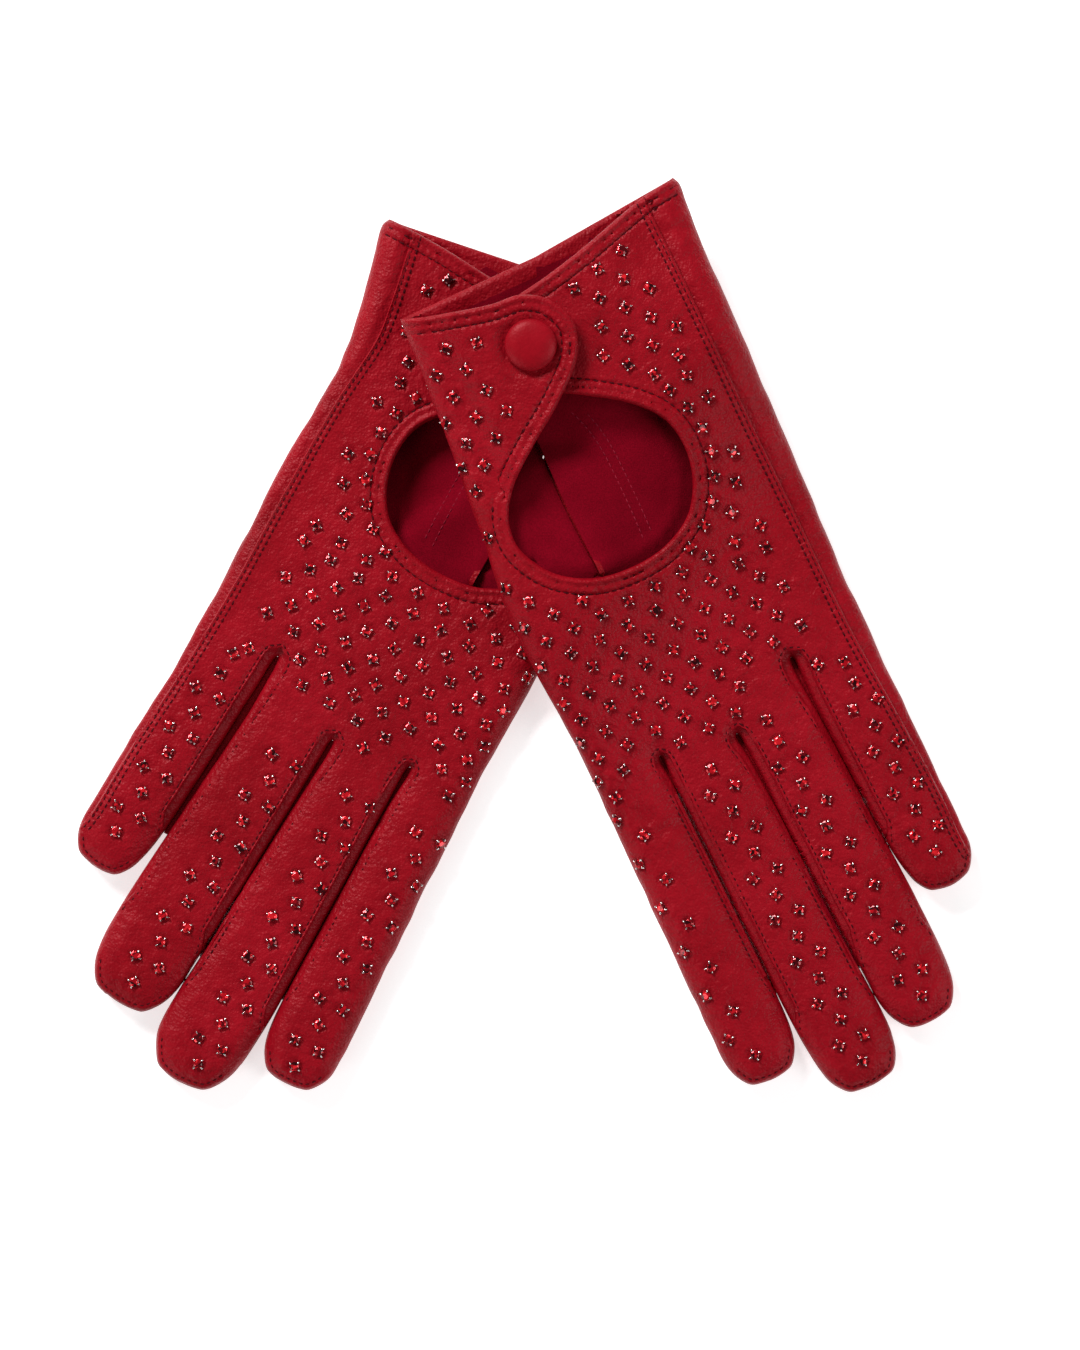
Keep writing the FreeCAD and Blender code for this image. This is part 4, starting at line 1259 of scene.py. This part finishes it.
def finish_piece(piece, body, replaced=(), blend=None):
    """Ride on one body, or, when a blend is given, keep its place baked into the mesh; hide the CAD
    nodes it stands for.
    """
    if blend is None:
        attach(piece, body)
    else:
        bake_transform(piece)
    if replaced:
        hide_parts(*replaced)
    return piece


def sew(label, parts, slot_name, body, blend=None):
    """A piece made of many stitches."""
    vertices, faces = join_parts(parts)
    piece = make_object(label, vertices, faces, [MATERIALS[slot_name]])
    finish_piece(piece, body, (), blend)


def set_crystals(glove, label, sites, seat, random, body):
    """Claw settings, and the stones in them turned the same way."""
    state = random.bit_generator.state
    for kind, shape, slot_name, smooth in (("settings", setting_shape(), "silver", 55),
                                           ("crystals", stone_shape(), "crystal", 12)):
        random.bit_generator.state = state
        vertices, faces = at_sites(glove, sites, seat, shape, random)
        piece = make_object(f"{label}_claw_{kind}", vertices, faces, [MATERIALS[slot_name]],
                            sharp=smooth)
        finish_piece(piece, body, [f"{label}_{kind}"])


def build_trank(pattern):
    """Back, palm and fourchettes: one skin of triangles, cut along its seams."""
    glove = pattern.glove
    edge = pattern.edge
    rings = [edge.offset(row) for row in EDGE_RINGS]
    seam_lines = [upper[1:-1] for _, upper, _ in pattern.forks] + [pattern.outer_seam.points[1:-1]]
    root_line = resample(shifted(glove, [RIM_LOW[-1], STRIP_CUFF[0]]), 0.5)
    upper_loop = np.vstack([edge.points, pattern.strip_hem.points[::-1][1:], root_line[::-1][1:],
                            pattern.hem.points[::-1][1:-1]])
    rows = rings + both_sides(pattern.hem, HEM_RINGS) + both_sides(pattern.strip_hem, HEM_RINGS)
    for seam in pattern.seams:
        rows += both_sides(seam, SEAM_RINGS)
    rows += site_rings(pattern.sites)
    upper, upper_faces = triangulate(upper_loop, seam_lines, rows, GRID)

    palm_loop = np.vstack([edge.points, pattern.palm_cuff.points[1:-1]])
    lower_lines = [lower[1:-1] for _, _, lower in pattern.forks]
    slit = lens(pattern.slit, SLIT_HALF)
    slit_path = Path(np.vstack([slit, slit[:1]]))
    palm_rows = rings[1:] + [pattern.palm_cuff.offset(row) for row in PALM_CUFF_RINGS]
    palm_rows += both_sides(slit_path, SLIT_RINGS)
    palm_rows += [spline(shifted(glove, line), 0.6) for line in INSIDE_ROWS]
    lower, lower_faces = triangulate(palm_loop, lower_lines, palm_rows, PALM_GRID, hole=slit)

    upper_centres = upper[upper_faces].mean(1)
    lower_centres = lower[lower_faces].mean(1)
    upper_kind = np.full(len(upper_faces), -1)
    lower_kind = np.full(len(lower_faces), -2)
    for index, (rim, above, below) in enumerate(pattern.forks):
        upper_kind[inside(upper_centres, np.vstack([rim, above[::-1]]))] = index
        lower_kind[inside(lower_centres, np.vstack([rim, below[::-1]]))] = index
    start = edge.points[:pattern.edge_index(pattern.outer_seam.points[-1]) + 1]
    strip = np.vstack([start, pattern.outer_seam.points[::-1],
                       [glove["outer_side"][0]]])
    upper_kind[inside(upper_centres, strip) & (upper_kind == -1)] = -3
    build_skin(pattern, upper, upper_faces, upper_kind, lower, lower_faces, lower_kind)


def lens(path, half):
    """Narrow pointed outline round a line."""
    share = path.arc / path.length
    wide = half * np.sin(np.pi * np.clip(share, 0, 1)) ** 0.5
    normals = path.normals() * wide[:, None]
    left = path.points + normals
    right = path.points - normals
    return np.vstack([left, right[::-1][1:-1]])


def build_skin(pattern, upper, upper_faces, upper_kind, lower, lower_faces, lower_kind):
    """Lift the flat triangles, join them round the outline and part them at the seams."""
    glove = pattern.glove
    name = glove["name"]
    keys = {}
    outline = {}
    for index, (u, v) in enumerate(pattern.edge.points):
        outline[(round(u, 3), round(v, 3))] = index
    vertices, depths = [], []

    def collect(points, faces, kinds, kind, side, group):
        chosen = faces[kinds == kind]
        if not len(chosen):
            return np.zeros((0, 3), int)
        used = np.unique(chosen)
        places = points[used]
        if side == "palm":
            heights = pattern.palm_height(places)
        else:
            heights = pattern.back_height(places, side)
        depth = pattern.thickness(places)
        index_of = {}
        for vertex, (u, v), height, thick in zip(used, places, heights, depth):
            on_edge = outline.get((round(u, 3), round(v, 3)))
            key = (group, "edge", on_edge) if on_edge is not None else (group, side, kind, vertex)
            if key not in keys:
                keys[key] = len(vertices)
                vertices.append((u, v, MIDDLE if on_edge is not None else height))
                depths.append(thick)
            index_of[vertex] = keys[key]
        return np.array([[index_of[i] for i in face] for face in chosen])

    def oriented(faces, upward):
        return facing(np.array(vertices)[:, :2], faces, upward)

    back = collect(upper, upper_faces, upper_kind, -1, "back", "trank")
    strip = collect(upper, upper_faces, upper_kind, -3, "strip", "trank")
    palm = collect(lower, lower_faces, lower_kind, -2, "palm", "trank")
    trank = np.vstack([oriented(back, True), oriented(strip, True), oriented(palm, False)])
    forks = []
    for index in range(3):
        top = collect(upper, upper_faces, upper_kind, index, index, f"fork{index}")
        under = collect(lower, lower_faces, lower_kind, index, "palm", f"fork{index}")
        forks.append(np.vstack([oriented(top, True), oriented(under, False)]))
    vertices = np.array(vertices)
    depths = np.array(depths)

    folds = [f"{name}_{part}" for part in ("back", "palm", "index_side", "outer_side",
                                           "middle_tip", "ring_tip")]
    on_back = vertices[:, 2] > MIDDLE
    hem = np.where(on_back, pattern.hem.distance(vertices[:, :2]),
                   pattern.palm_cuff.distance(vertices[:, :2]))
    leather_piece(glove, f"{name}_trank", vertices, depths, trank, f"{name}_glove", folds,
                  turned=hem < HEM_WIDTH)
    for gap, faces in zip(GAPS, forks):
        piece_name = f"{name}_{gap}_fourchette"
        leather_piece(glove, piece_name + "_leather", vertices, depths, faces, f"{name}_glove",
                      [piece_name])


def leather_piece(glove, label, vertices, depths, faces, body, replaced, blend=None, turned=None):
    """Close one piece of the skin into leather with a suede inside.

    turned says which places lie on a hem, where the smooth side is turned in.
    """
    outer, faces, used = used_only(vertices, faces)
    solid, all_faces, kinds = shell(outer, faces, depths[used])
    if glove["mirror"] < 0:
        all_faces = [face[::-1] for face in all_faces]
    indices = [1 if kind == 1 else 0 for kind in kinds]
    if turned is not None:
        smooth = turned[used]
        indices = [0 if kind == 1 and smooth[[i % len(outer) for i in face]].all() else index
                   for face, kind, index in zip(all_faces, kinds, indices)]
    piece = make_object(label, place(glove, solid), all_faces,
                        [MATERIALS["leather"], MATERIALS["suede"]], indices)
    return finish_piece(piece, body, replaced, blend)


def build_gap_folds(pattern):
    """The part of each fourchette that is folded in between two fingers."""
    glove = pattern.glove
    name = glove["name"]
    for gap, (rim, _, _) in zip(GAPS, pattern.forks):
        turn = int(np.argmin(rim[:, 1]))
        outer, inner = rim[:turn + 1][::-1], rim[turn:]
        top = min(outer[-1, 1], inner[-1, 1])
        levels = np.arange(rim[turn, 1] + 0.2, top, 1.0)
        right = np.interp(levels, outer[:, 1], outer[:, 0])
        left = np.interp(levels, inner[:, 1], inner[:, 0])
        centre, half = (left + right) / 2, (right - left) / 2 + FOLD_TUCK
        half *= np.sqrt(np.clip((top - levels) / 4, 0.05, 1))
        sides = 10
        turns = 2 * math.pi * np.arange(sides) / sides
        vertices = np.array([(c + h * math.cos(t), v, FOLD_LEVEL + FOLD_HALF * math.sin(t))
                             for c, h, v in zip(centre, half, levels) for t in turns])
        faces = tube_faces(len(levels), sides)
        if glove["mirror"] > 0:
            faces = [face[::-1] for face in faces]
        piece = make_object(f"{name}_{gap}_fold", place(glove, vertices), faces,
                            [MATERIALS["leather"]])
        finish_piece(piece, f"{name}_glove")


def build_threads(pattern):
    """Stitches of the hems, the seams and the fingertips, and the rows seen inside."""
    glove = pattern.glove
    name = glove["name"]
    hem_lines = []
    for row in HEM_ROWS:
        for side in (-1, 1):
            hem_lines.append(runs_inside(pattern, pattern.hem, row * side))
            hem_lines.append(runs_inside(pattern, pattern.strip_hem, row * side))

    def clear_of_edge(gap):
        return lambda places: pattern.edge.distance(places) > gap

    flat = [line for lines in hem_lines for line in lines]
    parts = stitches(glove, flat, pattern.back_height, HEM_PITCH, *HEM_STITCH, clear_of_edge(1.2))
    seam_lines = [seam.offset(SEAM_ROW) for seam in pattern.seams]
    seam_lines.append(pattern.outer_seam.offset(SIDE_ROW))
    seam_lines += [pattern.tip_line(finger) for finger in glove["fingers"].values()]
    parts += stitches(glove, seam_lines, pattern.back_height, SEAM_PITCH, *SEAM_STITCH,
                      clear_of_edge(0.5))
    sew(f"{name}_stitching", parts, "thread", f"{name}_glove")

    def inner_height(places):
        return pattern.palm_height(places) + LEATHER

    lines = [spline(shifted(glove, line), LINE_STEP) for line in INSIDE_ROWS]
    parts = stitches(glove, lines, inner_height, INSIDE_PITCH, *INSIDE_STITCH)
    sew(f"{name}_inside_stitching", parts, "inside_thread", f"{name}_glove")


def runs_inside(pattern, path, amount):
    """The parts of an offset line that lie on the back's leather, as separate lines."""
    widest_gap, fewest = 1.5, 6
    moved = path.offset(amount)
    loop = np.vstack([pattern.edge.points, pattern.strip_hem.points[::-1][1:],
                      pattern.hem.points[::-1][1:-1]])
    good = inside(moved, loop)
    steps = np.concatenate([[0], np.linalg.norm(np.diff(moved, axis=0), axis=1)])
    lines, run = [], []
    for ok, step, point in zip(good, steps, moved):
        if not ok or step > widest_gap:
            if len(run) > fewest:
                lines.append(np.array(run))
            run = []
        if ok:
            run.append(point)
    if len(run) > fewest:
        lines.append(np.array(run))
    return lines


def build_crystals(pattern, random):
    """The crystals of the back and the fingers."""
    glove = pattern.glove
    name = glove["name"]

    def seat_height(places):
        reach = pattern.edge.distance(places)
        rise = rounded(reach, ROUNDING)
        calm = smoothstep(reach / 3.0)
        return MIDDLE + (DEPTH - MIDDLE) * rise + calm * pattern.undulation(places) - SETTING_SINK

    set_crystals(glove, name, pattern.sites, seat_height, random, f"{name}_glove")


# ---------------------------------------------------------------- tab


class Tab:
    """The wrist tab: it leaves the back at its root and rises over the strap to the snap."""

    def __init__(self, pattern):
        self.pattern = pattern
        glove = pattern.glove
        self.root_u = TAB_ROOT_U + glove["shift"][0]
        self.edge = Path(spline(shifted(glove, TAB_EDGE), LINE_STEP))
        self.snap = np.array(SNAP) + pattern.shift
        self.sites = [np.array(site) for site in tab_sites(glove)]

    def lift(self, places):
        """Extra height over the glove's back: none at the root, the tab's own beyond it."""
        beyond = places[:, 0] - self.root_u
        own = 0.25 + FACING + LEATHER + TAB_RISE * beyond / SNAP_REACH
        return own * smoothstep(beyond / 6.0)

    def height(self, places):
        pattern = self.pattern
        distance, arc = self.edge.nearest(places)
        base = DEPTH + self.lift(places)
        near_root = 1 - smoothstep((places[:, 0] - self.root_u) / 6.0)
        base += near_root * (pattern.undulation(places) + pattern.crease(places) - 0.15)
        base += (1 - near_root) * (0.5 * pattern.undulation(places * 1.3) + pattern.crease(places))
        base += pattern.hem_shape(distance, arc)
        base += self.snap_dip(places)
        for index, site in enumerate(self.sites):
            offset = places - site
            reach = np.linalg.norm(offset, axis=1)
            angle = np.arctan2(offset[:, 1], offset[:, 0])
            base += dimple(reach, np.cos(angle * 5 + index))
        return base

    def snap_dip(self, places):
        offset = places - self.snap
        reach = np.linalg.norm(offset, axis=1)
        angle = np.arctan2(offset[:, 1], offset[:, 0])
        pull = 0.16 * np.cos(angle * 9 + 1.5 * np.cos(angle * 2)) * bump(reach, 7.8, 1.3)
        return pull - 0.65 * np.exp(-(np.maximum(reach - CAP_RADIUS, 0) / 1.6) ** 2)


def build_tab(tab, random):
    """The tab with its lining, stitches, crystals and snap cap."""
    pattern = tab.pattern
    glove = pattern.glove
    name = glove["name"]
    root_line = resample(shifted(glove, [RIM_LOW[-1], STRIP_CUFF[0]]), 0.5)
    loop = np.vstack([tab.edge.points, root_line[1:-1]])
    if loop_area(loop) < 0:
        loop = loop[::-1]
    turns = np.linspace(0, 2 * math.pi, 73)[:-1]
    rows = both_sides(tab.edge, HEM_RINGS) + site_rings(tab.sites)
    rows += [tab.snap + radius * np.stack([np.cos(turns), np.sin(turns)], 1) for radius in SNAP_RINGS]
    flat, faces = triangulate(loop, [], rows, GRID)
    faces = facing(flat, faces)
    heights = tab.height(flat)
    doubled, edge = hem_depth(tab.edge.distance(flat))
    depths = (LEATHER + 0.35 * doubled) * edge
    vertices = np.column_stack([flat, heights])
    body = f"{name}_glove"
    blend = None
    if name == "left":
        bend = [[tab.root_u + along, ROOT_MIDDLE_V, DEPTH] for along in (0.0, ROOT_BEND)]
        blend = ("left_tab", *(tuple(end) for end in place(glove, bend)))
    leather_piece(glove, f"{name}_tab_leather", vertices, depths, faces, body, [f"{name}_tab"], blend)

    facing_loop = offset_loop(tab, 1.1)
    flat, faces = triangulate(facing_loop, [], [], 1.6)
    faces = facing(flat, faces)
    under = DEPTH + tab.lift(flat) - LEATHER - 0.1
    reach = Path(np.vstack([facing_loop, facing_loop[:1]])).distance(flat)
    thin = FACING * (0.35 + 0.65 * smoothstep(reach / 1.2))
    leather_piece(glove, f"{name}_tab_lining", np.column_stack([flat, under]), thin, faces, body,
                  [f"{name}_tab_facing"], blend)

    rows = [tab.edge.offset(row) for row in HEM_ROWS]
    sew(f"{name}_tab_stitching", stitches(glove, rows, tab.height, HEM_PITCH, *HEM_STITCH),
        "thread", body, blend)

    def seat(places):
        return DEPTH + tab.lift(places) - SETTING_SINK + 0.5 * pattern.undulation(places * 1.3)

    rider = "left_tab" if name == "left" else body
    set_crystals(glove, f"{name}_tab", tab.sites, seat, random, rider)
    build_cap(tab, rider)


def loop_area(loop):
    following = np.roll(loop, -1, axis=0)
    return 0.5 * (loop[:, 0] * following[:, 1] - following[:, 0] * loop[:, 1]).sum()


def offset_loop(tab, amount):
    """The tab's outline drawn in by an amount, and cut off short of the root."""
    line = tab.edge.offset(amount)
    inward = line[line[:, 0] > tab.root_u + 3.0]
    loop = resample(np.vstack([inward, inward[:1]]), 1.0)[:-1]
    return loop if loop_area(loop) > 0 else loop[::-1]


def build_cap(tab, rider):
    """Snap cap covered in the same leather: a puffed dome tucked in at its rim."""
    glove = tab.pattern.glove
    name = glove["name"]
    top = DEPTH + float(tab.lift(tab.snap[None])[0])
    profile = [(CAP_RADIUS - 0.75, -0.42), (CAP_RADIUS - 0.25, -0.30), (CAP_RADIUS, 0.02),
               (CAP_RADIUS - 0.02, CAP_RIM)]
    steps = 15
    for step in range(1, steps):
        turn = step / steps * math.pi / 2
        radius = CAP_RADIUS * math.cos(turn) ** 0.78
        profile.append((radius, CAP_RIM + (CAP_RISE - CAP_RIM) * math.sin(turn) ** 0.85))
    profile.append((0.12, CAP_RISE))
    vertices, faces = revolved(profile, 64)
    vertices[:, 2] += 0.05 * np.cos(np.arctan2(vertices[:, 1], vertices[:, 0]) * 3) * (
        np.hypot(vertices[:, 0], vertices[:, 1]) / CAP_RADIUS)
    vertices[:, 2] += vertices[:, 0] * TAB_RISE / SNAP_REACH
    vertices += np.array([tab.snap[0], tab.snap[1], top])
    if glove["mirror"] < 0:
        faces = [face[::-1] for face in faces]
    piece = make_object(f"{name}_snap_cover", place(glove, vertices), faces,
                        [MATERIALS["cap_leather"]], sharp=80)
    finish_piece(piece, rider, [f"{name}_snap_cap_cover"])


# ---------------------------------------------------------------- thumb


def build_thumb(pattern):
    """The folded thumb under the palm: a flat tube with a seam down each side."""
    glove = pattern.glove
    name = glove["name"]
    root = np.array(THUMB_ROOT) + pattern.shift
    turn = math.radians(THUMB_FOLD)
    along = np.array([math.sin(turn), math.cos(turn)])
    out = np.array([along[1], -along[0]])
    tip = root + along * THUMB_REACH
    points = []
    for centre, radius, angles in ((root, THUMB_RADII[0], range(180, 361, 20)),
                                   (tip, THUMB_RADII[1], range(0, 181, 20))):
        for angle in angles:
            direction = math.cos(math.radians(angle)) * out + math.sin(math.radians(angle)) * along
            points.append(centre + radius * direction)
    loop = spline(points + points[:1], 0.8)[:-1]
    path = Path(np.vstack([loop, loop[:1]]))
    side = 1 if loop_area(loop) > 0 else -1
    rows = [path.offset(side * row) for row in THUMB_RINGS]
    flat, faces = triangulate(loop, [], rows, 1.7)
    faces = facing(flat, faces)
    reach = path.distance(flat)
    puff = rounded(reach, 2.4)
    seam = -0.22 * bump(reach, 1.5, 0.4)
    half = THUMB_DEPTH / 2
    crease = pattern.crease(flat) * 0.6
    upper = np.column_stack([flat, half + (half + seam) * puff])
    lower = np.column_stack([flat, half - (half + seam - np.abs(crease)) * puff])
    boundary = reach < 1e-6
    count = len(flat)
    target = np.where(boundary, np.arange(count), np.arange(count) + count)
    all_faces = np.vstack([faces, target[faces][:, ::-1]])
    vertices, all_faces, _ = used_only(np.vstack([upper, lower]), all_faces)
    all_faces = [tuple(f) for f in all_faces]
    if glove["mirror"] < 0:
        all_faces = [face[::-1] for face in all_faces]
    piece = make_object(f"{name}_thumb_leather", place(glove, vertices), all_faces,
                        [MATERIALS["leather"]])
    start = place(glove, [[*(root - along * 9), half]])[0]
    end = place(glove, [[*(root + along * 9), half]])[0]
    blend = (f"{name}_thumb", tuple(start), tuple(end))
    finish_piece(piece, f"{name}_glove", [f"{name}_thumb"], blend)


# ---------------------------------------------------------------- the pair


def build_glove(glove):
    random = np.random.default_rng(glove["seed"])
    pattern = Pattern(glove)
    build_trank(pattern)
    build_gap_folds(pattern)
    build_threads(pattern)
    build_crystals(pattern, random)
    build_tab(Tab(pattern), random)
    build_thumb(pattern)


def repaint_cad():
    """Snap parts keep their CAD shape and take a finer material."""
    for name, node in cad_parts.items():
        metal = name.endswith(("snap_cap", "snap_socket", "snap_stud", "snap_post"))
        node.data.materials.clear()
        node.data.materials.append(MATERIALS["snap_metal" if metal else "leather"])


def area_light(name, location, target, size, energy):
    light = bpy.data.lights.new(name, "AREA")
    light.shape = "RECTANGLE"
    light.size, light.size_y = size
    light.energy = energy
    lamp = bpy.data.objects.new(name, light)
    lamp.location = location
    lamp.rotation_euler = (Vector(target) - Vector(location)).to_track_quat("-Z", "Y").to_euler()
    bpy.context.scene.collection.objects.link(lamp)


def studio():
    """A pale floor that glows a little, even light all round and three soft lamps."""
    scene = bpy.context.scene
    mesh = bpy.data.meshes.new("floor")
    half = 3.0
    mesh.from_pydata([(-half, -half, 0), (half, -half, 0), (half, half, 0), (-half, half, 0)], [],
                     [(0, 1, 2, 3)])
    material, _, _, shader = new_material("floor")
    shader.inputs["Base Color"].default_value = (*grey(0.8), 1)
    shader.inputs["Roughness"].default_value = 0.8
    shader.inputs["Emission Color"].default_value = (1, 1, 1, 1)
    shader.inputs["Emission Strength"].default_value = 0.62
    mesh.materials.append(material)
    floor = bpy.data.objects.new("floor", mesh)
    floor.location.z = cad_box[0][2] - 0.0002
    scene.collection.objects.link(floor)
    world = bpy.data.worlds.new("studio")
    world.use_nodes = True
    world.node_tree.nodes["Background"].inputs["Color"].default_value = (1, 1, 1, 1)
    world.node_tree.nodes["Background"].inputs["Strength"].default_value = 0.16
    scene.world = world
    centre = (0, 0, 0.01)
    area_light("key", (-0.70, 1.05, 0.95), centre, (0.6, 0.4), 26)
    area_light("fill", (1.05, -0.35, 0.80), centre, (0.5, 0.9), 7)
    area_light("low", (-0.95, -0.80, 0.70), centre, (0.6, 0.5), 4)
    scene.view_settings.view_transform = "Standard"


def camera():
    """Straight down, 337.5 mm of floor over the long side of the frame."""
    distance = 1.2
    framed = 0.3375
    aim = (0.00386, -0.00986)
    data = bpy.data.cameras.new("camera")
    data.sensor_width = 36
    data.lens = 36 * distance / framed
    data.clip_start = 0.01
    item = bpy.data.objects.new("camera", data)
    item.location = (aim[0], aim[1], distance)
    bpy.context.scene.collection.objects.link(item)
    bpy.context.scene.camera = item


build_glove(RIGHT)
build_glove(LEFT)
repaint_cad()
studio()
camera()
